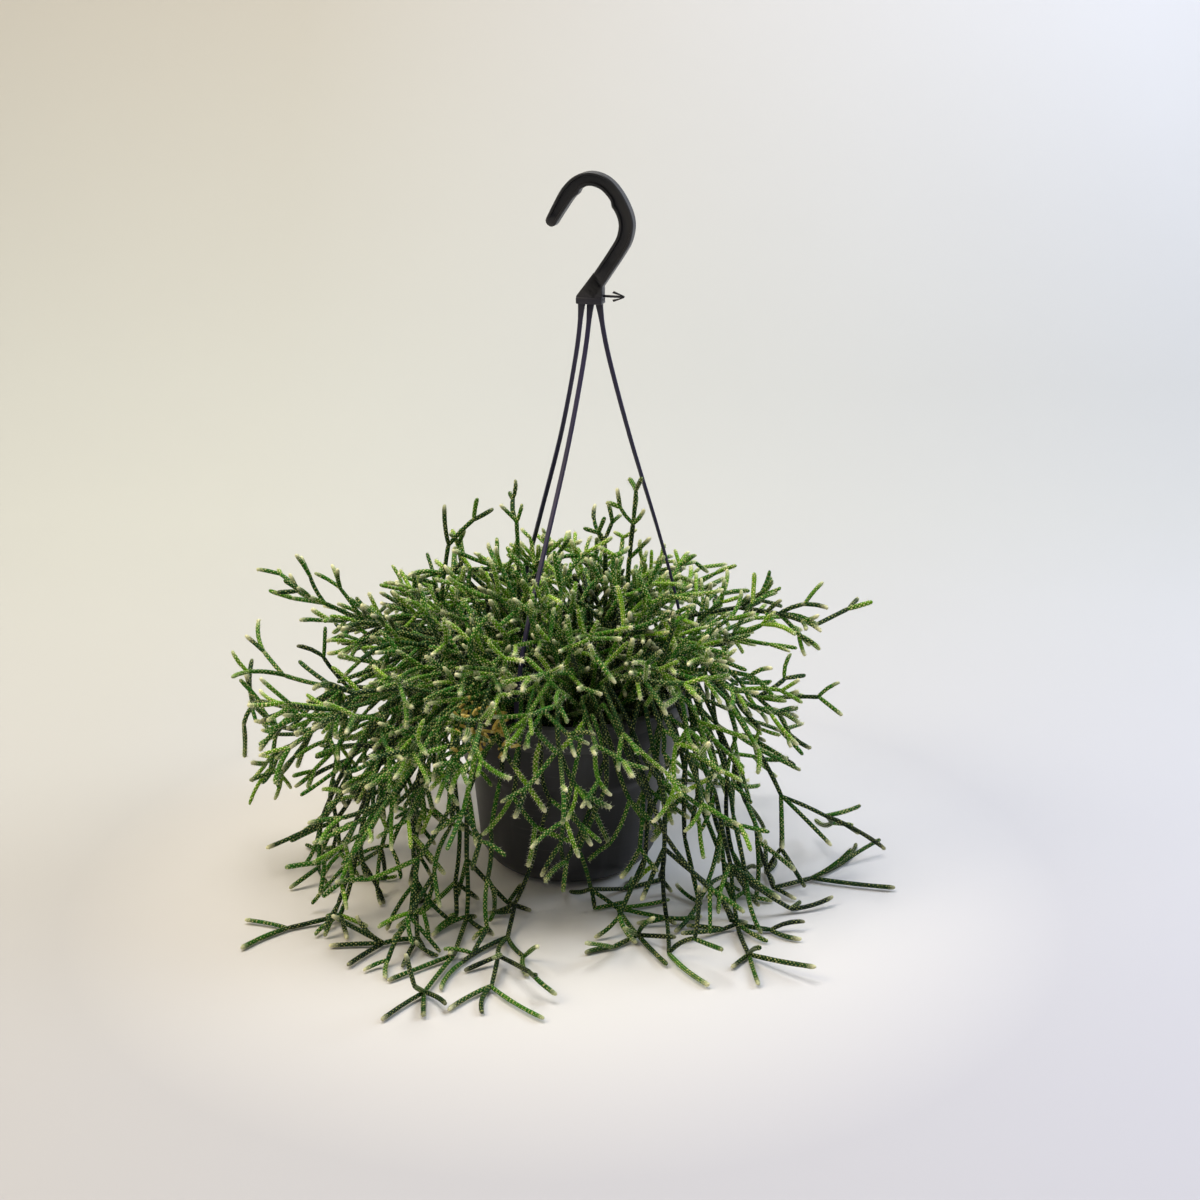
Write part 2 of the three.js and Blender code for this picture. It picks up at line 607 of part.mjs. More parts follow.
function growPlant() {
  const plant = new Plant(SEED);
  for (const [name, heading, distance, marks, own] of NOTABLE) {
    const route = marks.map((mark) => new THREE.Vector3(...mark));
    plant.climb(`stem_${name}`, around(heading, distance, 0), route, own);
  }
  for (const [family, own, rows] of ARCHING) {
    rows.forEach(([heading, distance, ...marks], i) => {
      const name = `stem_${family}_${String(i + 1).padStart(2, '0')}`;
      plant.climb(name, around(heading, distance, 0), marks.map(([r, z]) => around(heading, r, z)), own);
    });
  }
  plant.sprays.forEach((spray) => plant.dress(spray));
  return plant.sprays;
}

// A jointed line with a ring of the stem's section at each node
class StemLine extends THREE.Curve {
  constructor(points) {
    super();
    this.points = points;
  }

  getPoint(t, target = new THREE.Vector3()) {
    const place = Math.min(1, Math.max(0, t)) * (this.points.length - 1);
    const i = Math.min(this.points.length - 2, Math.floor(place));
    return target.lerpVectors(this.points[i], this.points[i + 1], place - i);
  }

  getPointAt(u, target) {
    return this.getPoint(u, target);
  }

  getTangentAt(u, target) {
    return this.getTangent(u, target);
  }
}

function stem(points, sides, radius, neck) {
  const corners = [];
  for (let i = 0; i < sides; i += 1) {
    const turn = (2 * Math.PI * i) / sides;
    corners.push(new THREE.Vector2(radius * Math.cos(turn), radius * Math.sin(turn)));
  }
  const geometry = new THREE.ExtrudeGeometry(new THREE.Shape(corners), {
    steps: points.length - 1, extrudePath: new StemLine(points),
  });
  const root = points[0];
  const corner = new THREE.Vector3();
  const place = geometry.attributes.position;
  for (let i = 0; i < place.count; i += 1) {
    corner.fromBufferAttribute(place, i);
    if (corner.distanceTo(root) < 1.01 * radius) {
      corner.lerp(root, 1 - neck);
      place.setXYZ(i, corner.x, corner.y, corner.z);
    }
  }
  return solid(geometry);
}

function sprayBody(spray) {
  const [main, ...twigs] = spray.stems;
  return join([stem(main, 4, STEM_R, 1), ...twigs.map((points) => stem(points, 3, TWIG_R, TWIG_NECK))]);
}

const sprays = growPlant();
const model = new THREE.Group();
model.add(mesh('pot', pot(), PLASTIC));
model.add(mesh('soil', soil(sprays.map((spray) => spray.stems[0][0])), SOIL));
model.add(mesh('hanger_hook', hook(), HANGER_PLASTIC));
for (const spec of STRAPS) {
  model.add(mesh(spec.name, strap(spec), HANGER_PLASTIC));
}
for (const spray of sprays) {
  model.add(mesh(spray.name, sprayBody(spray), STEM));
}

export default model;
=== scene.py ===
# %% [markdown]
# # A rhipsalis in a hanging pot
#
# This lesson dresses a plain solid model of a potted mistletoe cactus. The solids give the pot, the
# soil, the hanger and the main sprays of stems, each where it belongs. Blender adds what makes them
# look real: round stems with rows of woolly spots and fine bristles, the many more stems that close
# the bush, and a finish for each surface.
#
# Everything is in metres. The pot stands with the middle of its foot at the origin, +Z is up and the
# viewer of the photograph looks along +Y.

# %% Load the frame
import math

import bmesh
import bpy
import numpy as np
from mathutils import Matrix, Vector, noise


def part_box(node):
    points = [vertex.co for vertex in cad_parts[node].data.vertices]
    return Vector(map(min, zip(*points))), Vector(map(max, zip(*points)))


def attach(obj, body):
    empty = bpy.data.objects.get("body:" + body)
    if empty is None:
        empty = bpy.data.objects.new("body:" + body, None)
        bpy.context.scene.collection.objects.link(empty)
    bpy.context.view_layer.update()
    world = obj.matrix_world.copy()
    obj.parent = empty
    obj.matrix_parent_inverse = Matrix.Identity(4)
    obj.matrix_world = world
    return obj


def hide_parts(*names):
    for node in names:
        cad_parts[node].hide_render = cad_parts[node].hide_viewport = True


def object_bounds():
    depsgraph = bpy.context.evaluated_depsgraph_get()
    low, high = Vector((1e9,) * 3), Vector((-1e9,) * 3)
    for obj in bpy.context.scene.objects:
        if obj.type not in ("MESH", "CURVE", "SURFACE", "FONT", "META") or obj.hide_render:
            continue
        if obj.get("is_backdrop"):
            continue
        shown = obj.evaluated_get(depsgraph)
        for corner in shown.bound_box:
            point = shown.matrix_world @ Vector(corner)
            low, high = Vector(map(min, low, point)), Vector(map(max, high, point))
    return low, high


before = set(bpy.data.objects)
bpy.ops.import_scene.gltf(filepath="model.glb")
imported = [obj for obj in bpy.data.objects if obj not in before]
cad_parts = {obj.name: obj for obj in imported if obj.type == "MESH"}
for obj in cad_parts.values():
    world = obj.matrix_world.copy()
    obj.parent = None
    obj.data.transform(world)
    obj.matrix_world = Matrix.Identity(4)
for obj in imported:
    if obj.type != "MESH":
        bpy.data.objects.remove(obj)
cad_low, cad_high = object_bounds()
MM = 0.001
print("solids:", len(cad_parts), "box:", [round(v, 3) for v in cad_high - cad_low])

# %% [markdown]
# ## The camera
#
# A photograph fixes where the camera stood. The ellipse of the pot's rim gives the angle that it
# looks down at, and the pot's size in the picture gives its distance. The lens is a mild telephoto,
# so the hook and the pot stay in proportion.

# %% Camera
CAMERA_PLACE = (0.022, -1.1897, 0.602)
CAMERA_DOWN = 19.1  # degrees below the horizon
CAMERA_LENS, SENSOR_W = 55.5, 36  # millimetres
FAR_CLIP = 50


def linked(name, data):
    """An object for a mesh, a lamp or a lens, in the scene."""
    thing = bpy.data.objects.new(name, data)
    bpy.context.scene.collection.objects.link(thing)
    return thing


lens = bpy.data.cameras.new("camera")
lens.lens, lens.sensor_width, lens.clip_end = CAMERA_LENS, SENSOR_W, FAR_CLIP
camera = linked("camera", lens)
camera.location = CAMERA_PLACE
camera.rotation_euler = (math.radians(90 - CAMERA_DOWN), 0, 0)
bpy.context.scene.camera = camera
print("camera at", CAMERA_PLACE)

# %% [markdown]
# ## Growing the stems again
#
# The solids of the sprays were grown by a rule: a main stem climbs out of the soil and passes a few
# marks, and then whorls of side branches leave its nodes. Chance decides the angles, but it is seeded,
# so the same steps give the same plant. The lesson runs that rule again and gets the line of every
# stem, which is a better start for a round, bristly stem than the coarse solid is. The rule works in
# millimetres, as the solids do.

# %% Chance and directions
class Dice:
    """Chance that comes out the same each time."""

    FACTOR, PRIME = 16807, 2147483647

    def __init__(self, seed):
        self.state = seed

    def roll(self):
        """A number between 0 and 1."""
        self.state = self.state * self.FACTOR % self.PRIME
        return self.state / self.PRIME

    def between(self, low, high):
        return low + (high - low) * self.roll()


def point(*values):
    return np.array(values, float)


def unit(way):
    return way * (1 / math.sqrt(way @ way))


def tipped(way, tilt, turn):
    """The direction way, tipped by tilt towards the side turn, both in degrees."""
    side = point(way[1], -way[0], 0)
    side = unit(side) if side @ side > 1e-6 else point(1, 0, 0)  # straight up has no side of its own
    up = np.cross(side, way)
    t, r = math.radians(tilt), math.radians(turn)
    return way * math.cos(t) + side * (math.sin(t) * math.cos(r)) + up * (math.sin(t) * math.sin(r))


def around(heading, distance, z):
    """The point at a heading in degrees, a distance from the pot's axis and a height."""
    return point(distance * math.cos(math.radians(heading)), distance * math.sin(math.radians(heading)), z)


SEED = 7
print("first rolls:", [round(Dice(SEED).roll(), 4), round(Dice(SEED).between(0, 360), 1)])

# %% [markdown]
# Two stems may not cross, and no stem may pass through the pot or a strap. So each new stretch is
# measured against every stretch that is there. Numpy does this for all of them at once: the shortest
# distance between two straight lines has a short formula, which is then clamped to their ends.

# %% Room for a stem
POT_HEIGHT, RIM_R, RIM_DEPTH, SHELF_T, WALL = 129, 85, 16.4, 2, 1.6
FOOT_R, CORNER_R, WALL_TOP_R = 41, 22, 77.4
STEP_BELOW, STEP_ABOVE = (67.5, 71.5), (74, 82)
SOIL_Z, ROOT_Z = 113, 95
BAND_Z = POT_HEIGHT - RIM_DEPTH
ABOVE_SOIL = 4  # stems stay this far above the soil where they lean over it

# the space that the pot and its soil take, as radius and height
POT_SPACE = np.array([
    (0, 0), (FOOT_R, 0), (56.6, 6.4), (63, CORNER_R), STEP_BELOW, STEP_ABOVE, (76, BAND_Z), (RIM_R, BAND_Z),
    (RIM_R, POT_HEIGHT), (75.4, POT_HEIGHT), (74.2, SOIL_Z + ABOVE_SOIL),
    (0, SOIL_Z + ABOVE_SOIL),
], float)


def pot_gaps(points):
    """How far each point lies outside the pot and its soil, negative inside."""
    here = np.stack([np.hypot(points[:, 0], points[:, 1]), points[:, 2]], 1)[:, None]
    start, end = POT_SPACE[:-1][None], POT_SPACE[1:][None]
    way = end - start
    share = np.clip(((here - start) * way).sum(2) / (way * way).sum(2), 0, 1)
    near = np.linalg.norm(here - start - share[..., None] * way, axis=2).min(1)
    across = (start[..., 1] > here[..., 1]) != (end[..., 1] > here[..., 1])
    rise = np.where(way[..., 1] == 0, 1, way[..., 1])
    hit = here[..., 0] < start[..., 0] + (here[..., 1] - start[..., 1]) / rise * way[..., 0]
    inside = (across & hit).sum(1) % 2 == 1
    return np.where(inside, -near, near)


def line_gaps(a, b, c, d):
    """Shortest distances between the straight lines a-b and c-d, row by row."""
    u, v, w = b - a, d - c, a - c
    uu, uv, vv = (u * u).sum(1), (u * v).sum(1), (v * v).sum(1)
    uw, vw = (u * w).sum(1), (v * w).sum(1)
    det = uu * vv - uv * uv
    s = np.where(det > 1e-9, np.clip((uv * vw - vv * uw) / np.where(det > 1e-9, det, 1), 0, 1), 0)
    t = (uv * s + vw) / vv
    past_end = (t < 0) | (t > 1)
    t = np.clip(t, 0, 1)
    s = np.where(past_end, np.clip((uv * t - uw) / uu, 0, 1), s)
    return np.linalg.norm(w + u * s[:, None] - v * t[:, None], axis=1)


print("gap of a point 10 mm off the foot:", pot_gaps(point(0, 0, -10)[None])[0])

# %% [markdown]
# The straps come first, because the stems keep clear of them. Each one bows from the block under the
# hook out to its slot in the rim.

# %% Strap routes
HOOK_X, HOOK_TURN, SLOT_R = 15.9, -16, 80.4
LIP_Z = 392.4
STRAPS = [  # heading at the rim, place along the block, slack
    ("strap_right", 0, 5.9, 0),
    ("strap_front_left", -113, 0, 0.042),
    ("strap_back_left", 117, -5.9, 0.058),
]
STRAP_BOW = [(392, 0), (359, 0.1), (302, 0.355), (239, 0.675), (193, 0.885), (164, 0.975), (148, 1), (140, 1)]


def strap_route(heading, offset, slack):
    top = point(HOOK_X, 0, 0) + around(HOOK_TURN, offset, 0)
    rim = around(heading, SLOT_R, 0)
    return [
        top + (rim - top) * (out - 4 * slack * out * (1 - out)) + point(0, 0, z) for z, out in STRAP_BOW
    ]


print("straps reach the rim at", [np.round(strap_route(*row[1:])[-1]).tolist() for row in STRAPS])

# %% [markdown]
# Now the rule itself. Each stretch of stem is tried in a direction that chance picks, and it is kept if
# it has room. If not, the next try tips it further and makes it a little shorter. The order of the
# rolls decides the whole plant, so it is the same as for the solids.

# %% The growing rule
TWIG_R = 2.4  # room that a stem takes up on each side of its middle line
ROOT_BACK = 1  # a side branch starts this far below its node
OWN_ROOM = 9  # it may touch its own spray over this distance
OWN_SHARE = 0.8  # but over no more than this share of its length
CLEAR_OF_SOIL = 8  # a main stem rises straight to this height above the soil
STEM_GAP, STRAP_REACH, FLOOR_Z = 0.4, 2.8, 2.4
CHECK_EVERY = 4  # the distance to the pot is measured at steps no longer than this
CLIMB_TRIES, TWIG_TRIES = 16, 10
CLIMB_SHRINK, TWIG_SHRINK = 0.02, 0.03  # each further try is shorter by this share
FIRST_TILT, MORE_TILT = 8, 5  # degrees that the first try may be tipped, and each further one more
TURN_SPREAD, TILT_SPREAD = 25, 12  # degrees that a branch may leave its place in the whorl
THREE_TWIGS = 0.3  # share of the twig whorls with three twigs, the others have two
LAST_TWIGS = 0.72  # length of the last order of twigs, as a share of the others
SPREAD = (point(-220, -226, 0), point(224, 154, 290))  # no node grows outside this box
ROOF_SLOPE = 0.28  # the bush gets lower towards the back
MOST_LINES = 9000
UP = point(0, 0, 1)

HABIT = dict(
    joint=38, wander=8, side=(26, 46), tilt=33, lift=0.08, twiggy=0.55, bare=1, count=3, tips=3, most=17,
    roof=SPREAD[1][2],
)


class Plant:
    """Every stretch of stem that has been grown, and the rule that grows the next one."""

    def __init__(self, seed):
        self.dice = Dice(seed)
        self.room = STEM_GAP
        self.limits = SPREAD
        self.roof = SPREAD[1][2]
        self.start, self.end = np.zeros((MOST_LINES, 3)), np.zeros((MOST_LINES, 3))
        self.reach, self.owner = np.zeros(MOST_LINES), np.zeros(MOST_LINES, int)
        self.lines = 0
        self.owners = {}
        self.sprays = []
        for name, *place in STRAPS:
            route = strap_route(*place)
            self.keep([*route, point(route[-1][0], route[-1][1], POT_HEIGHT)], name, STRAP_REACH)

    def keep(self, points, owner, reach):
        for a, b in zip(points, points[1:]):
            n = self.lines
            self.start[n], self.end[n], self.reach[n] = a, b, reach
            self.owner[n] = self.owners.setdefault(owner, len(self.owners))
            self.lines += 1

    def fits(self, a, b, owner):
        """Whether the stretch a-b clears the pot, the straps and all other stretches.

        From its own spray it has to keep clear only past its root.
        """
        length = math.dist(a, b)
        steps = np.linspace(0, 1, max(1, math.ceil(length / CHECK_EVERY)) + 1)[:, None]
        if (pot_gaps(a + (b - a) * steps) < TWIG_R + self.room).any():
            return False
        n = self.lines
        own = self.owner[:n] == self.owners.get(owner, -1)
        past = a + (b - a) * min(OWN_SHARE, OWN_ROOM / length)
        starts = np.where(own[:, None], past, a)
        gaps = line_gaps(starts, np.broadcast_to(b, (n, 3)), self.start[:n], self.end[:n])
        need = np.where(own, 2 * TWIG_R, TWIG_R + self.reach[:n] + self.room)
        return bool((gaps >= need).all())

    def stretch(self, start, way, length, owner):
        """One stretch between two nodes, laid on the surface where it would pass it."""
        end = start + way * length
        end[2] = max(end[2], FLOOR_Z)
        if (end < self.limits[0]).any() or (end > self.limits[1]).any():
            return None
        if end[2] > self.roof - ROOF_SLOPE * max(0, end[1]):
            return None
        return end if self.fits(start, end, owner) else None

    def reach_out(self, start, way, length, owner, tries, tilt_of, shrink):
        """The end of the first try that finds room. Each try tips the direction another way."""
        for attempt in range(tries):
            aim = tipped(way, tilt_of(attempt), self.dice.between(0, 360))
            if start[2] <= FLOOR_Z + 0.01 and aim[2] < 0:
                aim[2] = 0
                aim = unit(aim)
            end = self.stretch(start, aim, length * (1 - shrink * attempt), owner)
            if end is not None:
                self.keep([start, end], owner, TWIG_R)
                return end
        return None

    def climb(self, name, root, marks, own):
        """A main stem that climbs out of the soil and passes its marks in turn."""
        habit = {**HABIT, **own}
        here = point(root[0], root[1], SOIL_Z + CLEAR_OF_SOIL)
        line = [point(root[0], root[1], ROOT_Z), here]
        self.keep(line, name, TWIG_R)
        nodes = []
        for mark in marks:
            left, end = 1, here
            while left > 0 and end is not None:
                gap = mark - here
                far = math.sqrt(gap @ gap)
                stretches = max(1, math.floor(far / habit["joint"] + 0.5))
                wander = habit["wander"] if stretches > 1 else 0
                tilt_of = lambda attempt: (
                    wander * self.dice.roll() + MORE_TILT * attempt * self.dice.roll()
                )
                end = self.reach_out(
                    here, unit(gap), far / stretches, name, CLIMB_TRIES, tilt_of, CLIMB_SHRINK,
                )
                if end is not None:
                    line.append(end)
                    nodes.append((end, unit(end - here)))
                    here = end
                left = stretches - 1
            if end is None:
                break
        self.sprays.append(dict(name=name, habit=habit, nodes=nodes, stems=[line], count=1))
        return self.sprays[-1]

    def whorl(self, spray, node, count, depth, line):
        """Side branches round a node. The first one at the end of a line carries that line on."""
        dice, habit = self.dice, spray["habit"]
        place, way = node
        phase = dice.between(0, 360)
        shrink = 1 if depth > 0 else LAST_TWIGS
        for i in range(count):
            if spray["count"] >= habit["most"]:
                return
            turn = phase + 360 * i / count + dice.between(-TURN_SPREAD, TURN_SPREAD)
            tilt = dice.between(habit["tilt"] - TILT_SPREAD, habit["tilt"] + TILT_SPREAD)
            aim = unit(tipped(way, tilt, turn) + UP * habit["lift"])
            length = dice.between(*habit["side"]) * shrink
            carries_on = bool(line) and line[-1] is place
            root = place if carries_on else place - way * ROOT_BACK
            tilt_of = lambda attempt: dice.between(0, FIRST_TILT + MORE_TILT * attempt)
            end = self.reach_out(root, aim, length, spray["name"], TWIG_TRIES, tilt_of, TWIG_SHRINK)
            if end is None:
                continue
            own = line if carries_on else [root]
            own.append(end)
            spray["count"] += 1
            if not carries_on:
                spray["stems"].append(own)
            if depth > 0 and dice.roll() < habit["twiggy"]:
                twigs = 3 if dice.roll() < THREE_TWIGS else 2
                self.whorl(spray, (end, unit(end - root)), twigs, depth - 1, own)

    def dress(self, spray):
        """Side branches from the tip of the main stem inwards."""
        habit, nodes = spray["habit"], spray["nodes"]
        self.roof = habit["roof"]
        for i in range(len(nodes) - 1, habit["bare"] - 1, -1):
            count = habit["tips"] if i == len(nodes) - 1 else habit["count"]
            self.whorl(spray, nodes[i], count, 1, spray["stems"][0])


plant = Plant(SEED)
strap_lines = plant.lines
print("strap stretches to keep clear of:", plant.lines)

# %% [markdown]
# The planting tables are the ones of the solids: where each main stem stands in the soil, as a heading
# and a distance from the middle, and the marks that it passes. The first table is for the stems that
# stand out in the photograph, and the second for the families that fill the bush evenly.

# %% Planting the sprays of the solids
TRAIL = dict(bare=2, side=(30, 52), tilt=30, lift=0.02, twiggy=0.3, tips=0, most=14)
SHORT = dict(side=(17, 29))
NOTABLE = [
    ("tall_right", 20, 30, [(40, 6, 176), (42, -3, 222), (46, -8, 270)],
     dict(joint=29, side=(14, 24), tips=2, most=9)),
    ("mid_top", 60, 15, [(24, 10, 170), (25, 10, 200), (25, 10, 229)], dict(side=(12, 20), most=9)),
    ("top_fork", 180, 30, [(-33, 0, 166), (-33, 0, 202), (-34, 0, 246)], dict(side=(12, 20), most=9)),
    ("top_left", 150, 45, [(-66, 6, 156), (-86, 0, 190), (-80, 0, 230), (-82, 0, 257)],
     dict(side=(16, 28), count=1, tips=0)),
    ("left_high", 172, 45, [(-90, -2, 166), (-141, 0, 176), (-166, 0, 188), (-184, 0, 197)],
     dict(SHORT, tips=0)),
    ("left_cluster", 164, 60, [(-95, 14, 156), (-145, 4, 120), (-180, 0, 92), (-203, 0, 97)],
     dict(side=(20, 34))),
    ("right_high", 0, 45, [(85, 8, 176), (117, 2, 184), (145, 0, 180), (171, 0, 172)], dict(SHORT, tips=0)),
    ("right_mid", -12, 60, [(90, -18, 152), (112, -14, 132), (131, -8, 122), (149, -6, 121)],
     dict(SHORT, tips=0)),
    ("trail_right", -28, 60,
     [(90, -50, 148), (112, -62, 96), (128, -64, 40), (140, -62, 4), (168, -46, 3), (223, -60, 3)], TRAIL),
    ("trail_right_up", 4, 60,
     [(98, 2, 148), (126, -22, 96), (146, -40, 62), (177, -40, 47), (200, -40, 34)], TRAIL),
    ("trail_front_right", -48, 60,
     [(70, -68, 148), (84, -80, 118), (98, -84, 84), (108, -100, 40), (112, -114, 4), (120, -186, 3)], TRAIL),
    ("trail_front_mid", -62, 60,
     [(52, -88, 142), (62, -100, 100), (64, -96, 50), (66, -108, 5), (66, -149, 3), (89, -187, 3)], TRAIL),
    ("trail_front", -78, 60,
     [(24, -96, 146), (26, -106, 100), (8, -96, 50), (16, -84, 14), (34, -90, 3), (47, -126, 3),
      (64, -162, 3)], TRAIL),
    ("trail_front_left", -98, 60,
     [(-14, -98, 144), (-10, -106, 90), (-22, -94, 42), (-34, -98, 12), (-38, -129, 3), (-45, -189, 3),
      (-12, -225, 3)], TRAIL),
    ("trail_long_left", -122, 60,
     [(-46, -92, 146), (-64, -96, 90), (-66, -92, 40), (-66, -104, 4), (-71, -151, 3), (-86, -196, 3),
      (-84, -222, 3)], TRAIL),
    ("trail_left_a", -140, 60,
     [(-80, -70, 146), (-98, -92, 90), (-98, -104, 30), (-96, -130, 3), (-118, -136, 3), (-137, -163, 3)],
     TRAIL),
    ("trail_left_b", -158, 60,
     [(-98, -40, 148), (-128, -66, 90), (-140, -86, 40), (-150, -104, 5), (-163, -124, 3)], TRAIL),
    ("trail_left_c", -176, 60, [(-104, -16, 148), (-150, -30, 84), (-172, -31, 36), (-184, -31, 5)], TRAIL),
]
ARCHING = [
    ("hanging", dict(lift=-0.05, bare=2, wander=12, side=(28, 46), tips=2), [
        (20, 60, (98, 146), (132, 84)), (38, 60, (98, 148), (136, 40)), (56, 60, (98, 146), (128, 80)),
        (76, 60, (98, 148), (136, 30)), (94, 60, (98, 146), (132, 84)), (112, 60, (100, 150), (146, 36)),
        (130, 60, (104, 152), (164, 80)), (147, 60, (108, 152), (176, 44)),
    ]),
    ("shoulder", dict(lift=0.02, wander=12, side=(24, 42), roof=214), [
        (22, 45, (78, 166), (118, 150)), (52, 45, (78, 168), (120, 150)), (80, 45, (78, 168), (120, 146)),
        (106, 45, (80, 170), (126, 150)), (130, 45, (84, 170), (150, 152)), (190, 45, (96, 166), (186, 122)),
        (208, 45, (92, 164), (168, 142)), (226, 45, (92, 162), (160, 98)), (246, 45, (88, 160), (134, 110)),
        (268, 45, (84, 162), (114, 130)), (290, 45, (80, 160), (108, 134)), (314, 45, (80, 160), (114, 112)),
        (338, 45, (80, 162), (116, 134)),
    ]),
    ("crown", dict(lift=0, wander=12, side=(18, 32), tilt=38, roof=226), [
        (50, 30, (50, 156), (82, 178)), (82, 30, (50, 156), (80, 176)), (114, 30, (50, 158), (84, 178)),
        (148, 30, (60, 160), (112, 178)), (212, 30, (60, 156), (112, 164)), (242, 30, (52, 154), (90, 166)),
        (270, 30, (50, 152), (76, 168)), (300, 30, (50, 152), (78, 168)), (330, 30, (50, 154), (82, 172)),
        (130, 15, (24, 156), (44, 188)), (200, 15, (26, 154), (50, 184)), (268, 15, (24, 154), (44, 182)),
        (338, 15, (26, 154), (44, 184)), (0, 0, (3, 156), (8, 190)),
    ]),
]

for name, heading, distance, marks, own in NOTABLE:
    plant.climb("stem_" + name, around(heading, distance, 0), [point(*mark) for mark in marks], own)
for family, own, rows in ARCHING:
    for number, (heading, distance, *marks) in enumerate(rows, 1):
        route = [around(heading, out, z) for out, z in marks]
        plant.climb(f"stem_{family}_{number:02d}", around(heading, distance, 0), route, own)
solid_sprays = list(plant.sprays)
for spray in solid_sprays:
    plant.dress(spray)
print("stretches planted:", plant.lines - strap_lines)

# %% [markdown]
# The box of each spray shows whether the rule grew the same plant as the solids. A line has no
# thickness, so the radius of a stem is added on every side. Where a solid ends flat, the two boxes
# differ by that radius, and nowhere by more.

# %% Compare with the solids
worst = 0
for spray in solid_sprays:
    low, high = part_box(spray["name"])
    corners = np.concatenate([np.array(line) for line in spray["stems"]]) * MM
    reach = TWIG_R * MM
    worst = max(worst, np.abs(corners.min(0) - reach - np.array(low)).max())
    worst = max(worst, np.abs(corners.max(0) + reach - np.array(high)).max())
print("sprays:", len(solid_sprays), "largest difference in mm:", round(worst / MM, 2))

# %% [markdown]
# ## Closing the bush
#
# A real bush has hundreds of stems. The solids hold the main ones, and the rest are grown here by the
# same rule, but closer together, so that some touch, as they do in the middle of a real bush. Each zone
# of the bush is a row: how many stems, between which headings they leave the pot, how far out they go
# over the rim, and where they end. Extra twigs on the sprays of the solids come last.

# %% Filling zones
ZONES = [  # name, stems, headings, distance and height of the bend, distance and height of the end, habit
    ("crown", 60, (0, 360), (18, 55), (144, 172), (22, 84), (164, 214),
     dict(lift=-0.02, joint=30, side=(16, 32), roof=240)),
    ("shoulder", 56, (0, 360), (66, 86), (150, 170), (92, 122), (130, 176), dict(lift=0, side=(18, 34))),
    ("left", 84, (128, 250), (78, 98), (150, 172), (108, 168), (84, 178), dict(lift=0, side=(18, 34))),
    ("left_hanging", 96, (136, 252), (96, 106), (142, 158), (112, 170), (8, 92),
     dict(lift=-0.06, side=(22, 38))),
    ("front_fringe", 16, (238, 318), (88, 96), (140, 152), (94, 114), (74, 130),
     dict(lift=0, side=(26, 42), joint=40, most=5)),
    ("right", 8, (-58, 60), (84, 98), (144, 168), (96, 106), (110, 160),
     dict(lift=0.02, side=(16, 26), most=5)),
    ("right_hanging", 11, (-64, -22), (94, 104), (142, 152), (112, 158), (6, 60),
     dict(lift=-0.03, side=(28, 44), joint=40, most=5)),
    ("back", 26, (66, 134), (92, 102), (144, 160), (112, 146), (30, 130), dict(lift=-0.03, side=(22, 38))),
    ("core", 90, (0, 360), (8, 55), (138, 160), (10, 80), (142, 186), dict(lift=0, side=(18, 32))),
    ("left_core", 50, (128, 248), (86, 98), (138, 160), (96, 160), (30, 150),
     dict(lift=-0.03, side=(22, 36))),
]
FILL_JOINT = dict(joint=34, wander=14, tilt=36, most=8, roof=212)
FILL_ROOM = -2.5  # less room than between the main sprays, so stems of the dense bush may touch
FILL_ROOF = 240  # no filling stem ends above this height
MARGIN = 3  # millimetres past the solids' box
ROOT_TURN, BEND_TURN, END_TURN = 20, 8, 12  # how far a stem's marks may leave its heading, in degrees
ROOT_SHARE, MOST_ROOT = (0.3, 0.8), 64  # its root, as a share of the bend's distance, and at most

low, high = np.array(cad_low) / MM, np.array(cad_high) / MM
plant.limits = (
    point(low[0] - MARGIN, low[1] - MARGIN, 0), point(high[0] + MARGIN, high[1] + MARGIN, FILL_ROOF),
)
plant.room, plant.roof = FILL_ROOM, FILL_JOINT["roof"]
filling = []
dice = plant.dice
for zone, stems, headings, bend_out, bend_z, end_out, end_z, own in ZONES:
    for i in range(stems):
        heading = headings[0] + (headings[1] - headings[0]) * (i + dice.roll()) / stems
        turn = heading + dice.between(-BEND_TURN, BEND_TURN)
        bend = around(turn, dice.between(*bend_out), dice.between(*bend_z))
        turn = heading + dice.between(-END_TURN, END_TURN)
        end = around(turn, dice.between(*end_out), dice.between(*end_z))
        turn = heading + dice.between(-ROOT_TURN, ROOT_TURN)
        root = around(turn, min(MOST_ROOT, dice.between(*ROOT_SHARE) * math.hypot(*bend[:2])), 0)
        spray = plant.climb(f"fill_{zone}_{i}", root, [bend, end], {**FILL_JOINT, **own})
        spray["zone"] = zone
        filling.append(spray)
for spray in filling:
    plant.dress(spray)
print("filling stems:", len(filling), "stretches:", plant.lines)

# %% Extra twigs on the main sprays
MOST_TWIGS, TRAIL_TWIGS = 12, 1
END_TWIGS = 0.45  # share of the ends that fork once more
twigs = []
for spray in solid_sprays:
    most = TRAIL_TWIGS if "trail" in spray["name"] else MOST_TWIGS
    habit = dict(spray["habit"], most=most, twiggy=0.5, lift=max(0, spray["habit"]["lift"]))
    extra = dict(name=spray["name"], habit=habit, nodes=[], stems=[], count=0)
    ends = [(line[-1], unit(line[-1] - line[-2])) for line in spray["stems"]]
    for node in spray["nodes"][2:]:
        plant.whorl(extra, node, 1, 1, [])
    for node in ends:
        if plant.dice.roll() < END_TWIGS:
            plant.whorl(extra, node, 2, 0, [])
    twigs.append(extra)
length = sum(math.dist(plant.start[n], plant.end[n]) for n in range(plant.lines))
print("stretches:", plant.lines, "length of all stems in metres:", round(length * MM, 1))

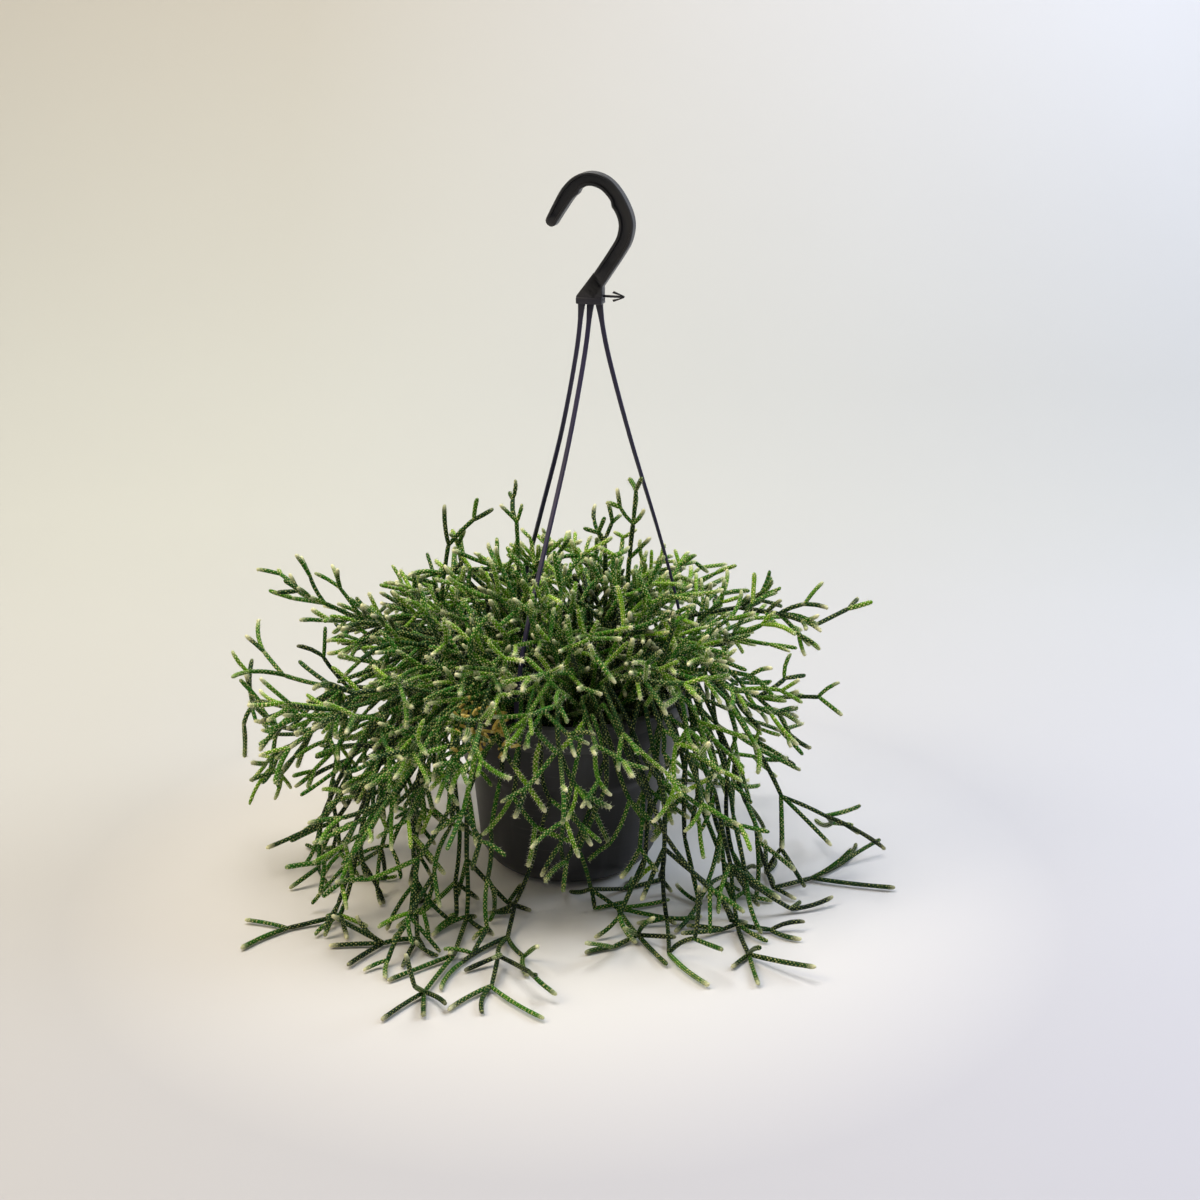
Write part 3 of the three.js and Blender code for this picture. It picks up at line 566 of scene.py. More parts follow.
# %% [markdown]
# ## One joint of a stem
#
# A rhipsalis stem is a chain of joints. Each is a slim round body, under 4 mm thick, narrower where it
# joins the last one. Along it run rows of areoles, the small woolly spots of a cactus, and some carry a
# few fine bristles. There are over three thousand joints, so a few are made for each length and age,
# and then copied. A half outline is spun round the axis. Flat cones stand for the wool and slim ones
# for the bristles. The spots between them are left to the finish, which gets each point's place on the
# stem: its direction round the axis and its distance along it.

# %% Styles and shells
SIDES = 6
RING = 5.6  # millimetres between the rings of a joint's outline
COLUMNS = 7  # rows of areoles along a joint
SPOT = 2.9  # millimetres between two areoles of a row
STYLES = {  # radius, steps between raised areoles, wool size, bristles on each, their length and lean
    "plain": dict(radius=1.55, every=0),
    "old": dict(radius=1.6, every=4, wool=0.5, bristles=0, long=(0.7, 1.2), lean=50),
    "green": dict(radius=1.52, every=3, wool=0.55, bristles=1, long=(1.1, 2), lean=56),
    "young": dict(radius=1.45, every=2, wool=0.6, bristles=1, long=(1.3, 2.4), lean=62),
    "fuzzy": dict(radius=1.7, every=1, wool=0.6, bristles=1, long=(1.4, 2.6), lean=66),
    "dry": dict(radius=1.15, every=0),
}
WOOL, BRISTLE = 1, 2  # material slots of a joint, after the skin's
SUNK = 0.15  # how deep a cone's foot sits in what carries it


def spin_round(bm, outline, steps, merge):
    """Spins a half outline of radius and height round the Z axis into a closed shell."""
    line = [bm.verts.new((r, 0, z)) for r, z in outline]
    edges = [bm.edges.new(pair) for pair in zip(line, line[1:])]
    bmesh.ops.spin(bm, geom=line + edges, axis=(0, 0, 1), cent=(0, 0, 0), angle=math.tau, steps=steps,
                   use_merge=True)
    bmesh.ops.remove_doubles(bm, verts=bm.verts, dist=merge)
    bmesh.ops.recalc_face_normals(bm, faces=bm.faces)


def spike(bm, base, way, radius, length, slot):
    """A slim closed cone with three sides, sunk a little into the stem."""
    turn = way.to_track_quat("Z", "Y").to_matrix().to_4x4()
    place = Matrix.Translation(base + way * (length / 2 - SUNK)) @ turn
    made = bmesh.ops.create_cone(
        bm, cap_ends=True, segments=3, radius1=radius, radius2=0, depth=length + 2 * SUNK, matrix=place,
    )
    for face in {face for vert in made["verts"] for face in vert.link_faces}:
        face.material_index = slot
        face.smooth = False


print("styles:", {style: look["radius"] for style, look in STYLES.items()})

# %% Joint templates
BRISTLE_R = 0.15
LEAN_SPREAD, FAN_SPREAD = 16, 35  # degrees that a bristle may leave its lean, and its row
NEAR_TIP = 0.75  # from this share of a last joint on, the areoles are closer and woollier
TIP_WOOL = 1.3
UP_AXIS = Vector((0, 0, 1))
joint_templates = {}


def raise_areoles(bm, look, length, last, number, dice):
    """Wool and bristles on some areoles of each row, closer together near the tip of a stem."""
    radius, every = look["radius"], look["every"]
    flat = math.tau / SIDES
    for column in range(COLUMNS):
        turn = math.tau * column / COLUMNS
        outward = Vector((math.cos(turn), math.sin(turn), 0))
        reach = radius * math.cos(flat / 2) / math.cos(turn % flat - flat / 2)
        first = (column * 5 + number * 3) % every
        z = (first + 1 - 0.5 * (column % 2)) * SPOT
        while z < length - 0.4:
            foot = outward * reach + UP_AXIS * z - outward * 0.1
            near_tip = last and z > NEAR_TIP * length
            wool = look["wool"] * (TIP_WOOL if near_tip else 1)
            spike(bm, foot, (outward + UP_AXIS * 0.4).normalized(), wool, wool * 0.7, WOOL)
            for _ in range(look["bristles"] + int(near_tip)):
                lean = math.radians(look["lean"] + dice.between(-LEAN_SPREAD, LEAN_SPREAD))
                way = outward * math.sin(lean) + UP_AXIS * math.cos(lean)
                fan = math.radians(dice.between(-FAN_SPREAD, FAN_SPREAD))
                way = Matrix.Rotation(fan, 3, outward) @ way
                spike(bm, foot, way.normalized(), BRISTLE_R, dice.between(*look["long"]), BRISTLE)
            z += SPOT * (min(2, every) if near_tip else every)


def joint_template(rings, style, last, number):
    """A joint with this many rings, standing on the origin, in millimetres."""
    key = (rings, style, last, number)
    if key in joint_templates:
        return joint_templates[key]
    dice = Dice(101 + 977 * number + 31 * rings + 7 * len(style) + int(last))
    look = STYLES[style]
    length = rings * RING
    outline = [(0, -0.9), (0.7, -0.6), (0.86, 0.8)]
    outline += [(dice.between(0.95, 1.05), (ring + 0.5) * RING) for ring in range(rings)]
    outline += [(0.8, length - 0.2), (0.42, length + 0.5), (0, length + 0.7)]
    bm = bmesh.new()
    spin_round(bm, [(look["radius"] * share, z) for share, z in outline], SIDES, 0.02)
    for face in bm.faces:
        face.smooth = True
    if look["every"]:
        raise_areoles(bm, look, length, last, number, dice)
    mesh = bpy.data.meshes.new("_".join(str(part) for part in key))
    bm.to_mesh(mesh)
    bm.free()
    points = np.zeros(len(mesh.vertices) * 3, np.float32)
    mesh.vertices.foreach_get("co", points)
    joint_templates[key] = (mesh, points.reshape(-1, 3).astype(float), length)
    return joint_templates[key]


mesh, points, length = joint_template(8, "green", True, 0)
print("a joint of", length, "mm:", len(mesh.polygons), "faces")

# %% [markdown]
# A line of joints becomes a list of places. Each joint gets a small bow of its own, an age that its
# colour follows, and a style: dark with few areoles where it is old, bristly and pale where it is
# young. Some of the end joints are woolly all over. Joints that nothing shows, in the middle of the
# bush, are plain.

# %% From lines to joints
VARIANTS = 2
FROSTED = 0.16  # share of the end joints that are woolly all over
WOOLLY_END = 5.5  # this much of a young tip is covered in wool, in millimetres
OLD, YOUNG = 0.36, 0.7  # ages at which a joint's style changes
HIDDEN_R, HIDDEN_Z = 84, 134  # joints inside the rim and under this height don't show
BOW = 0.1  # how far a joint is bent, as a share of its length
STIFF = 30  # a joint longer than this, in millimetres, bends less
LYING = 5  # a joint with both ends lower than this lies on the surface, and bends sideways
OFF_FLOOR = 0.15
TIP_YOUTH = 0.3  # an end joint is younger than its stem by up to this much


def joints_of(stems, age, spread, dice, inner=False):
    """The joints of some stems, as places with a style. age runs from 0 (dark) to 1 (pale)."""
    joints = []
    for line in stems:
        for step, (a, b) in enumerate(zip(line, line[1:])):
            last = step == len(line) - 2
            young = age + spread * (dice.roll() - 0.5) + (TIP_YOUTH * dice.roll() if last else 0)
            young = min(1, max(0, young))
            style = "old" if young < OLD else "green" if young < YOUNG else "young"
            if last and young > OLD and dice.roll() < FROSTED:
                style = "fuzzy"
            if inner or max(a[2], b[2]) < HIDDEN_Z and math.hypot(*(a + b)[:2] / 2) < HIDDEN_R:
                style = "plain"
            joints.append(dict(a=a, b=b, last=last, young=young, style=style, bow=dice.between(0, BOW),
                               turn=dice.between(0, 360), number=int(dice.roll() * VARIANTS),
                               wool=dice.roll() if last else 0))
    return joints


def bent(points, length, joint):
    """A template's points along the bowed line of one joint."""
    a, b = joint["a"], joint["b"]
    far = math.dist(a, b)
    way = unit(b - a)
    side = tipped(way, 90, joint["turn"])
    other = np.cross(way, side)
    flat = a[2] < LYING and b[2] < LYING
    bow = unit(np.cross(way, UP)) if flat else tipped(way, 90, joint["turn"] * 3)
    along = points[:, 2:3] / length
    arch = 4 * along * (1 - along) * joint["bow"] * far * min(1, (STIFF / far) ** 2)
    placed = a + way * along * far + side * points[:, :1] + other * points[:, 1:2] + bow * arch
    placed[:, 2] = np.maximum(placed[:, 2], OFF_FLOOR)
    return placed * MM


tall = joints_of(solid_sprays[0]["stems"], 0.4, 0, Dice(1))
print("joints of", solid_sprays[0]["name"] + ":", len(tall), sorted({joint["style"] for joint in tall}))

# %% [markdown]
# Many joints make one piece. Each template is added to a bmesh as it is, and then all its points are
# moved to the bowed line of their joint at once. Three attributes go with every point, and the finish
# reads them: the age of the joint, how near the woolly tip the point is, and its place on the stem.

# %% From joints to a piece
MOST_RINGS = 20


def dressed(name, mesh, materials, nodes=()):
    """Makes a mesh a piece of the object, which rides on its body and may stand in for solids."""
    piece = linked(name, mesh)
    for material in materials:
        mesh.materials.append(material)
    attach(piece, "root")
    if nodes:
        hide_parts(*nodes)
    return piece


def stem_piece(name, joints, nodes=(), skin=None):
    """One mesh of many joints, each a copy of its template."""
    bm = bmesh.new()
    places, ages, tips, spots = [], [], [], []
    for joint in joints:
        rings = max(2, min(MOST_RINGS, round(math.dist(joint["a"], joint["b"]) / RING)))
        mesh, points, length = joint_template(rings, joint["style"], joint["last"], joint["number"])
        bm.from_mesh(mesh)
        places.append(bent(points, length, joint))
        ages.append(np.full(len(points), joint["young"]))
        tips.append(joint["wool"] * np.clip((points[:, 2] - length) / WOOLLY_END + 1, 0, 1))
        spots.append(points)
    mesh = bpy.data.meshes.new(name)
    bm.to_mesh(mesh)
    bm.free()
    mesh.vertices.foreach_set("co", np.concatenate(places).astype(np.float32).ravel())
    for key, kind, field, values in (
        ("age", "FLOAT", "value", ages), ("tip", "FLOAT", "value", tips),
        ("on_stem", "FLOAT_VECTOR", "vector", spots),
    ):
        mesh.attributes.new(key, kind, "POINT").data.foreach_set(field, np.concatenate(values).ravel())
    mesh.update()
    return dressed(name, mesh, (skin or stem_skin, areole_wool, stem_bristle), nodes)


print("longest joint in rings:", MOST_RINGS, "and in mm:", MOST_RINGS * RING)

# %% [markdown]
# ## Finishes
#
# Each finish is a material made of nodes. Writing the node maths as Python expressions keeps it short:
# a small class wraps one output, and plus, minus, times and powers add the Math node that they stand
# for. Patterns read Object coordinates or an attribute of the mesh, so they stay in place.

# %% Shader expressions
class Wire:
    """One output of a node, on which arithmetic adds Math nodes."""

    def __init__(self, finish, socket):
        self.finish, self.socket = finish, socket

    def math(self, operation, *pair):
        return self.finish.node("ShaderNodeMath", dict(operation=operation), dict(enumerate(pair)))

    def __add__(self, other):
        return self.math("ADD", self, other)

    __radd__ = __add__

    def __sub__(self, other):
        return self.math("SUBTRACT", self, other)

    def __rsub__(self, other):
        return self.math("SUBTRACT", other, self)

    def __mul__(self, other):
        return self.math("MULTIPLY", self, other)

    __rmul__ = __mul__

    def __pow__(self, other):
        return self.math("POWER", self, other)

    def over(self, low, high):
        """0 below low, 1 above high and a straight ramp between."""
        return self.finish.node("ShaderNodeMapRange", {}, {0: self, 1: low, 2: high})


class Finish:
    """A material under way: node() adds any node, and the sockets of its shader are set by name."""

    def __init__(self, name):
        self.material = bpy.data.materials.new(name)
        self.material.use_nodes = True
        self.tree = self.material.node_tree
        self.shader = self.tree.nodes["Principled BSDF"]

    def node(self, kind, settings, inputs, output=0):
        made = self.tree.nodes.new(kind)
        for key, value in settings.items():
            if key == "stops":
                ramp = made.color_ramp
                while len(ramp.elements) < len(value):
                    ramp.elements.new(0.5)
                for element, (place, colour) in zip(ramp.elements, value):
                    element.position = place
                    element.color = (*colour, 1)
            else:
                setattr(made, key, value)
        for key, value in inputs.items():
            self.set(made.inputs[key], value)
        return Wire(self, made.outputs[output])

    def set(self, socket, value):
        if isinstance(value, Wire):
            self.tree.links.new(value.socket, socket)
        elif isinstance(value, tuple) and len(value) == 3 and socket.type == "RGBA":
            socket.default_value = (*value, 1)
        else:
            socket.default_value = value

    def surface(self, **values):
        for name, value in values.items():
            self.set(self.shader.inputs[name.replace("_", " ").title().replace("Ior", "IOR")], value)
        return self.material

    def place(self):
        return self.node("ShaderNodeTexCoord", {}, {}, "Object")

    def noise(self, scale, detail=3, roughness=0.55, vector=None):
        return self.node("ShaderNodeTexNoise", {}, {
            "Vector": vector or self.place(), "Scale": scale, "Detail": detail, "Roughness": roughness,
        })

    def split(self, vector):
        """The x, y and z of a vector."""
        outputs = self.node("ShaderNodeSeparateXYZ", {}, {0: vector}).socket.node.outputs
        return [Wire(self, output) for output in outputs]

    def stretched(self, x, y, z):
        return self.node("ShaderNodeMapping", {}, {"Vector": self.place(), "Scale": (x, y, z)})

    def ramp(self, factor, *stops):
        return self.node("ShaderNodeValToRGB", dict(stops=stops), {0: factor})

    def mix(self, factor, a, b):
        return self.node("ShaderNodeMix", dict(data_type="RGBA"), {0: factor, 6: a, 7: b}, 2)

    def attribute(self, name):
        return self.node("ShaderNodeAttribute", dict(attribute_name=name), {}, "Fac")

    def bump(self, height, strength, distance):
        return self.node("ShaderNodeBump", {}, {
            "Height": height, "Strength": strength, "Distance": distance,
        })


print("operators of an output:", [name for name in vars(Wire) if name.startswith("__r")])

# %% [markdown]
# The skin of a stem is green with a net of pale spots. The finish reads each point's place on its joint,
# so it can count the rows round the stem and the steps along it, and it draws a small round spot in the
# middle of each cell of that net. Every second row is moved by half a step. One noise frays the spots
# and a coarser one leaves some out. A ramp turns a joint's age into its green, from nearly black to
# yellowish, and the last few millimetres of a tip are mixed with the cream of its wool.

# %% Skin of the stems
SKIN_R = 1.6  # radius at which the net of spots has its true size, in millimetres
f = Finish("stem_skin")
age, tip = f.attribute("age"), f.attribute("tip")
on_stem = f.node("ShaderNodeAttribute", dict(attribute_name="on_stem"), {}, "Vector")
across, upright, along = f.split(on_stem)
row = upright.math("ARCTAN2", upright, across) * (COLUMNS / math.tau)  # which row, with fractions
nearest = row.math("ROUND", row)
shifted = nearest.math("PINGPONG", nearest, 1)
step = along * (1 / SPOT) + shifted * 0.5 + 0.5  # which step along it
off_row = (row - nearest) * (math.tau * SKIN_R / COLUMNS)
off_step = (step.math("FRACT", step) - 0.5) * SPOT
mottle = f.noise(300, 2)
cloud = f.noise(26, 2)
spread = (off_row * off_row + off_step * off_step) ** 0.5 + (mottle - 0.5) * 1.6
bare = f.noise(150, 1).over(0.36, 0.5)
spots = (1 - spread.over(0.3 + age * 0.09, 0.52 + age * 0.13)) * (bare * 0.7 + 0.3)
shade = age + (mottle - 0.5) * 0.35 + (cloud - 0.5) * 0.7
skin = f.ramp(shade, (0.0, (0.001, 0.01, 0.004)), (0.3, (0.001, 0.035, 0.002)), (0.6, (0.016, 0.13, 0.001)),
              (1.0, (0.16, 0.36, 0.001)))
pale = f.mix(age, (0.46, 0.5, 0.15), (1, 0.9, 0.36))
skin = f.mix(spots * (age * 0.4 + 0.6), skin, pale)
skin = f.mix(tip.over(0.15, 0.9), skin, (0.9, 0.86, 0.52))
stem_skin = f.surface(base_color=skin, roughness=0.6 - mottle * 0.12, specular_ior_level=0.18,
                      sheen_weight=0.06, sheen_roughness=0.35, sheen_tint=(1, 0.97, 0.6),
                      normal=f.bump(spots, 0.6, 0.0004))
print("nodes of the skin:", len(f.tree.nodes))

# %% [markdown]
# Wool and bristles get paler with the young age of their joint, and a dried twig is the colour of straw.
# All three are rough, because fine hairs scatter the light.

# %% Wool, bristles and dried stems
f = Finish("areole_wool")
age = f.attribute("age")
wool = f.ramp(age + (f.noise(90, 1) - 0.5) * 0.6, (0.0, (0.26, 0.33, 0.1)), (0.5, (0.6, 0.62, 0.24)),
              (1.0, (0.96, 0.91, 0.6)))
areole_wool = f.surface(base_color=wool, roughness=0.9)

f = Finish("dried_stem")
straw = f.noise(400, 3)
dried_stem = f.surface(base_color=f.ramp(straw, (0.3, (0.26, 0.15, 0.016)), (0.5, (0.58, 0.43, 0.08)),
                                         (0.7, (0.85, 0.7, 0.28))),
                       roughness=0.85, normal=f.bump(straw, 0.5, 0.0004))

f = Finish("stem_bristle")
age = f.attribute("age")
stem_bristle = f.surface(base_color=f.mix(age, (0.5, 0.54, 0.36), (0.95, 0.93, 0.78)), roughness=0.7)
print("stem finishes:", stem_skin.name, areole_wool.name, dried_stem.name, stem_bristle.name)

# %% [markdown]
# Now the stems are made. Each spray of the solids becomes one round, jointed piece in its place. The
# filling stems of a zone are one piece, or a few where they have many joints. Trailing stems are old and
# dark, and the crown is the youngest. The middle of the bush is old too, and it gets the lowest ages of
# all, which adds a painted shade where the bush closes over it.

# %% The sprays of the solids
AGES = {"trail": 0.16, "hanging": 0.28, "shoulder": 0.4, "crown": 0.52}
OTHER_AGE, AGE_SPREAD = 0.34, 0.4
dice = Dice(41)
for spray in solid_sprays:
    family = spray["name"].split("_")[1]
    joints = joints_of(spray["stems"], AGES.get(family, OTHER_AGE), AGE_SPREAD, dice)
    stem_piece(spray["name"].replace("stem_", "spray_"), joints, [spray["name"]])
print("sprays:", len(solid_sprays), "joint templates:", len(joint_templates))

# %% The filling stems
# the core zones get the lowest ages: old stems, darkened further as a painted shade in the middle of the bush
ZONE_AGES = dict(
    core=0.12, left_core=0.08, crown=0.56, shoulder=0.5, left=0.42, left_hanging=0.36, front_fringe=0.36,
    right=0.34, right_hanging=0.18, back=0.36,
)
FILL_SPREAD, TWIG_AGE, TWIG_SPREAD = 0.45, 0.45, 0.5
MOST_JOINTS = 260  # in one piece
by_zone = {}
for spray in filling:
    zone = spray["zone"]
    joints = joints_of(spray["stems"], ZONE_AGES[zone], FILL_SPREAD, dice, inner="core" in zone)
    by_zone.setdefault(zone, []).extend(joints)
by_zone["twigs"] = []
for spray in twigs:
    by_zone["twigs"] += joints_of(spray["stems"], TWIG_AGE, TWIG_SPREAD, dice)
for zone, joints in by_zone.items():
    for part in range(0, len(joints), MOST_JOINTS):
        piece = stem_piece(f"foliage_{zone}_{part // MOST_JOINTS + 1}", joints[part:part + MOST_JOINTS])
        print(piece.name, len(piece.data.polygons), "faces")

# %% [markdown]
# ## Fuzzy joints and dried bits
#
# A few joints in the photograph are white with wool all round, there is a pale tuft above the rim, and
# some short twigs under it have dried to the colour of straw. Each of them starts on the nearest stem.

# %% Fuzzy joints and dried bits
FUZZY = [
    ((66, -95, 85), (97, -95, 103)), ((43, -90, 17), (61, -90, 37)), ((-24, -105, 111), (-13, -112, 85)),
    ((-16, -98, 128), (-18, -110, 104)), ((6, -92, 140), (-6, -104, 122)), ((60, -40, 190), (72, -52, 172)),
]
TUFT, TUFT_R, TUFT_TWIGS = point(-37, -85, 164), 6, 12
DRIED_LOW, DRIED_HIGH, DRIED_TWIGS = point(-70, -106, 118), point(-34, -90, 152), 64
DRIED_LENGTH, NEAR_STEM = (2, 6), 9  # a dried twig is left out where no stem is near


def nearest_stem(place):
    """The nearest point on any stem that has been grown."""
    start, end = plant.start[strap_lines:plant.lines], plant.end[strap_lines:plant.lines]
    way = end - start
    share = np.clip(((place - start) * way).sum(1) / (way * way).sum(1), 0, 1)
    feet = start + way * share[:, None]
    return feet[np.argmin(np.linalg.norm(feet - place, axis=1))]


def any_way(dice):
    """Any direction at all."""
    return tipped(UP, dice.between(0, 180), dice.between(0, 360))


def twig(a, b, style, young):
    """One short end joint from a to b."""
    return dict(a=a, b=b, last=True, young=young, style=style, bow=dice.between(0, BOW),
                turn=dice.between(0, 360), number=0, wool=young)


dice = Dice(83)
fuzzy = [twig(nearest_stem(point(*a)), point(*b), "fuzzy", 1) for a, b in FUZZY]
for _ in range(TUFT_TWIGS):
    fuzzy.append(twig(nearest_stem(TUFT), TUFT + any_way(dice) * TUFT_R, "fuzzy", 1))
dried = []
for _ in range(DRIED_TWIGS):
    share = point(dice.roll(), dice.roll(), dice.roll())
    place = DRIED_LOW + (DRIED_HIGH - DRIED_LOW) * share
    start = nearest_stem(place)
    if math.dist(start, place) < NEAR_STEM:
        dried.append(twig(start, place + any_way(dice) * dice.between(*DRIED_LENGTH), "dry", 0))
stem_piece("fuzzy_joints", fuzzy)
stem_piece("dried_bits", dried, skin=dried_stem)
print("fuzzy joints:", len(fuzzy), "dried bits:", len(dried))

# %% [markdown]
# ## The pot
#
# A nursery hanging pot is one thin moulding, round all the way, so its wall is spun from an outline:
# flat foot, round bottom corner, a step in the wall that lets pots stack, and the rim's band, which
# hangs down outside from a flat shelf. The sharp rings are then bevelled, and the drain holes and the
# strap slots are cut with a Boolean.

# %% Tools for moulded pieces
def verts_in(geom):
    return [item for item in geom if isinstance(item, bmesh.types.BMVert)]


def bevel_edges(bm, edges, width):
    """Rounds some edges, width in millimetres."""
    bmesh.ops.bevel(bm, geom=edges, offset=width * MM, segments=2, profile=0.5, affect="EDGES", material=-1,
                    clamp_overlap=True)


def box(bm, heading, out, z, sides):
    """A box at a heading and a distance from the axis, all in millimetres."""
    turn = Matrix.Rotation(math.radians(heading), 4, "Z")
    place = Matrix.Translation((out * MM, 0, z * MM))
    size = Matrix.Diagonal((*(side * MM for side in sides), 1))
    bmesh.ops.create_cube(bm, size=1, matrix=turn @ place @ size)


def piece_from(bm, name, materials, slot, nodes=(), smooth=True):
    """Turns a finished bmesh into a piece."""
    mesh = bpy.data.meshes.new(name)
    for face in bm.faces:
        face.smooth = smooth
    bm.to_mesh(mesh)
    bm.free()
    return dressed(name, mesh, materials, nodes)


def cut(piece, cutters):
    """Subtracts closed shapes, given as one bmesh, from a piece."""
    mesh = bpy.data.meshes.new("cutter")
    cutters.to_mesh(mesh)
    cutters.free()
    tool = linked("cutter", mesh)
    change = piece.modifiers.new("cut", "BOOLEAN")
    change.operation, change.object, change.solver = "DIFFERENCE", tool, "EXACT"
    bpy.context.view_layer.objects.active = piece
    with bpy.context.temp_override(object=piece, active_object=piece):
        bpy.ops.object.modifier_apply(modifier="cut")
    bpy.data.objects.remove(tool)


print("tools:", [tool.__name__ for tool in (verts_in, bevel_edges, box, piece_from, cut)])

# %% [markdown]
# The plastic is nearly black and a little uneven. Fine level lines run round it from the mould and from
# handling, and the rim's band is lighter. Just under the band the wall is darker, a painted shade where the
# band shadows it.

# %% Pot plastic
PAINTED_SHADE_DEPTH, BAND_EDGE = 10, 0.4  # millimetres below the band: how far the painted shade reaches, and the band's soft lower edge
f = Finish("pot_plastic")
lines = f.noise(60, 4, 0.7, f.stretched(0.35, 0.35, 14))
streak = f.noise(9, 3, 0.6, f.stretched(6, 6, 0.7))
dust = f.noise(35, 5, 0.65)
tone = f.ramp(streak + (dust - 0.5) * 0.5, (0.3, (0.014, 0.014, 0.017)), (0.55, (0.022, 0.022, 0.026)),
              (0.8, (0.044, 0.044, 0.05)))
scuff = lines.over(0.6, 0.76)
height = f.split(f.place())[2]
band = height.over((BAND_Z - BAND_EDGE) * MM, BAND_Z * MM)
# painted shade: a mask for the wall just under the band, where the band shadows it
painted_shade = height.over((BAND_Z - PAINTED_SHADE_DEPTH) * MM, BAND_Z * MM) * (1 - band)
tone = f.mix(band * 0.6, tone, (0.06, 0.06, 0.058))
# painted shade: the wall under the band is darkened in colour
tone = f.mix(painted_shade * 0.7, tone, (0.008, 0.008, 0.01))
tone = f.mix(scuff * (band * 0.3 + 0.45), tone, (0.14, 0.14, 0.135))
pot_plastic = f.surface(
    base_color=tone, roughness=0.36 + dust * 0.2 + scuff * 0.15,
    normal=f.bump(lines * 0.7 + dust * 0.3, 0.35, 0.0003),
)
print("pot finish:", pot_plastic.name)

# %% Pot
POT_STEPS, CORNER_STEPS = 120, 8
SHARP, RING_BEVEL = 30, 0.35  # rings sharper than this many degrees get a bevel of so many millimetres
SMOOTH_TO = 32  # degrees up to which the shading runs on
DRAINS, DRAIN_R, DRAIN_RING, DRAIN_STEPS = 6, 4, 28, 24
SLOT_W, SLOT_T = 5.6, 2.6
SHELF_Z = POT_HEIGHT - SHELF_T


def corner(radius):
    """The round bottom corner, as radius and height."""
    turns = [math.pi / 2 * i / CORNER_STEPS for i in range(CORNER_STEPS + 1)]
    return [(FOOT_R + radius * math.sin(t), CORNER_R - radius * math.cos(t)) for t in turns]


def spun(outline, steps):
    """A closed shell from an outline of radius and height, in millimetres."""
    bm = bmesh.new()
    spin_round(bm, [(r * MM, z * MM) for r, z in outline], steps, 0.01 * MM)
    return bm


pot_outline = [
    (0, 0), *corner(CORNER_R), (64.9, 43), STEP_BELOW, (69.4, 75.2), (73.2, 79.6), STEP_ABOVE, (75.3, 98),
    (WALL_TOP_R, SHELF_Z), (RIM_R - WALL - 0.2, SHELF_Z), (RIM_R - WALL, BAND_Z), (RIM_R, BAND_Z),
    (RIM_R - 0.1, 120.4), (RIM_R - 0.35, 120.9), (RIM_R - 0.1, 121.4), (RIM_R, POT_HEIGHT - 1),
    (RIM_R - 1, POT_HEIGHT), (WALL_TOP_R - WALL + 1, POT_HEIGHT), (WALL_TOP_R - WALL, POT_HEIGHT - 1),
    (STEP_ABOVE[0] - WALL, STEP_ABOVE[1] + 0.6), (STEP_BELOW[0] - WALL, STEP_BELOW[1] + 0.6),
    *reversed(corner(CORNER_R - WALL)), (0, WALL),
]
bm = spun(pot_outline, POT_STEPS)
sharp_edges = [e for e in bm.edges if e.is_manifold and e.calc_face_angle() > math.radians(SHARP)]
bevel_edges(bm, sharp_edges, RING_BEVEL)
pot = piece_from(bm, "pot_body", [pot_plastic], "pot_plastic", ["pot"])
cutters = bmesh.new()
for i in range(DRAINS):
    place = Vector(around(360 * (i + 0.5) / DRAINS, DRAIN_RING, WALL / 2)) * MM
    bmesh.ops.create_cone(cutters, cap_ends=True, segments=DRAIN_STEPS, radius1=DRAIN_R * MM,
                          radius2=DRAIN_R * MM, depth=4 * WALL * MM, matrix=Matrix.Translation(place))
for name, heading, *_ in STRAPS:
    box(cutters, heading, SLOT_R, POT_HEIGHT - SHELF_T / 2, (SLOT_T, SLOT_W, 3 * SHELF_T))
cut(pot, cutters)
pot.data.set_sharp_from_angle(angle=math.radians(SMOOTH_TO))
print("pot faces:", len(pot.data.polygons))

# %% [markdown]
# ## The soil
#
# Potting soil is dark, damp and crumbly. Its body fills the pot up to just under the rim. The top is
# cut into a fine net that noise pushes up and down, and crumbs and a few pale grains of perlite are
# pressed into it, each a rough ball of twenty faces.

# %% Soil and perlite
f = Finish("potting_soil")
grain, clod = f.noise(700, 4), f.noise(120, 4, 0.65)
earth = f.ramp(clod * 0.6 + grain * 0.4, (0.3, (0.006, 0.004, 0.003)), (0.55, (0.022, 0.013, 0.008)),
               (0.75, (0.06, 0.036, 0.02)))
potting_soil = f.surface(base_color=earth, roughness=0.95, normal=f.bump(grain + clod * 2, 0.8, 0.001))
f = Finish("perlite")
perlite = f.surface(base_color=f.ramp(f.noise(500), (0.3, (0.35, 0.33, 0.28)), (0.7, (0.62, 0.6, 0.54))),
                    roughness=0.9)
print("soil finishes:", potting_soil.name, perlite.name)

# %% Soil
SOIL_GAP = 0.3
SOIL_R, SOIL_STEPS, SOIL_NET = 71, 80, 3  # the flat top, its steps round and its rings, 3 mm apart
CRUMBS, GRAINS = 520, 46
INSIDE = WALL + SOIL_GAP


def bump_of(x, y):
    """How far the top of the soil is pushed up or down there: long waves and small lumps."""
    waves = 0.9 * math.sin(0.21 * x + 0.4) * math.cos(0.17 * y) + 0.7 * math.sin(0.11 * (x + y) + 2)
    lumps = 1.6 * noise.noise(Vector((x, y, 0)) * 0.16) + 0.9 * noise.noise(Vector((x, y, 9)) * 0.5)
    return waves + lumps


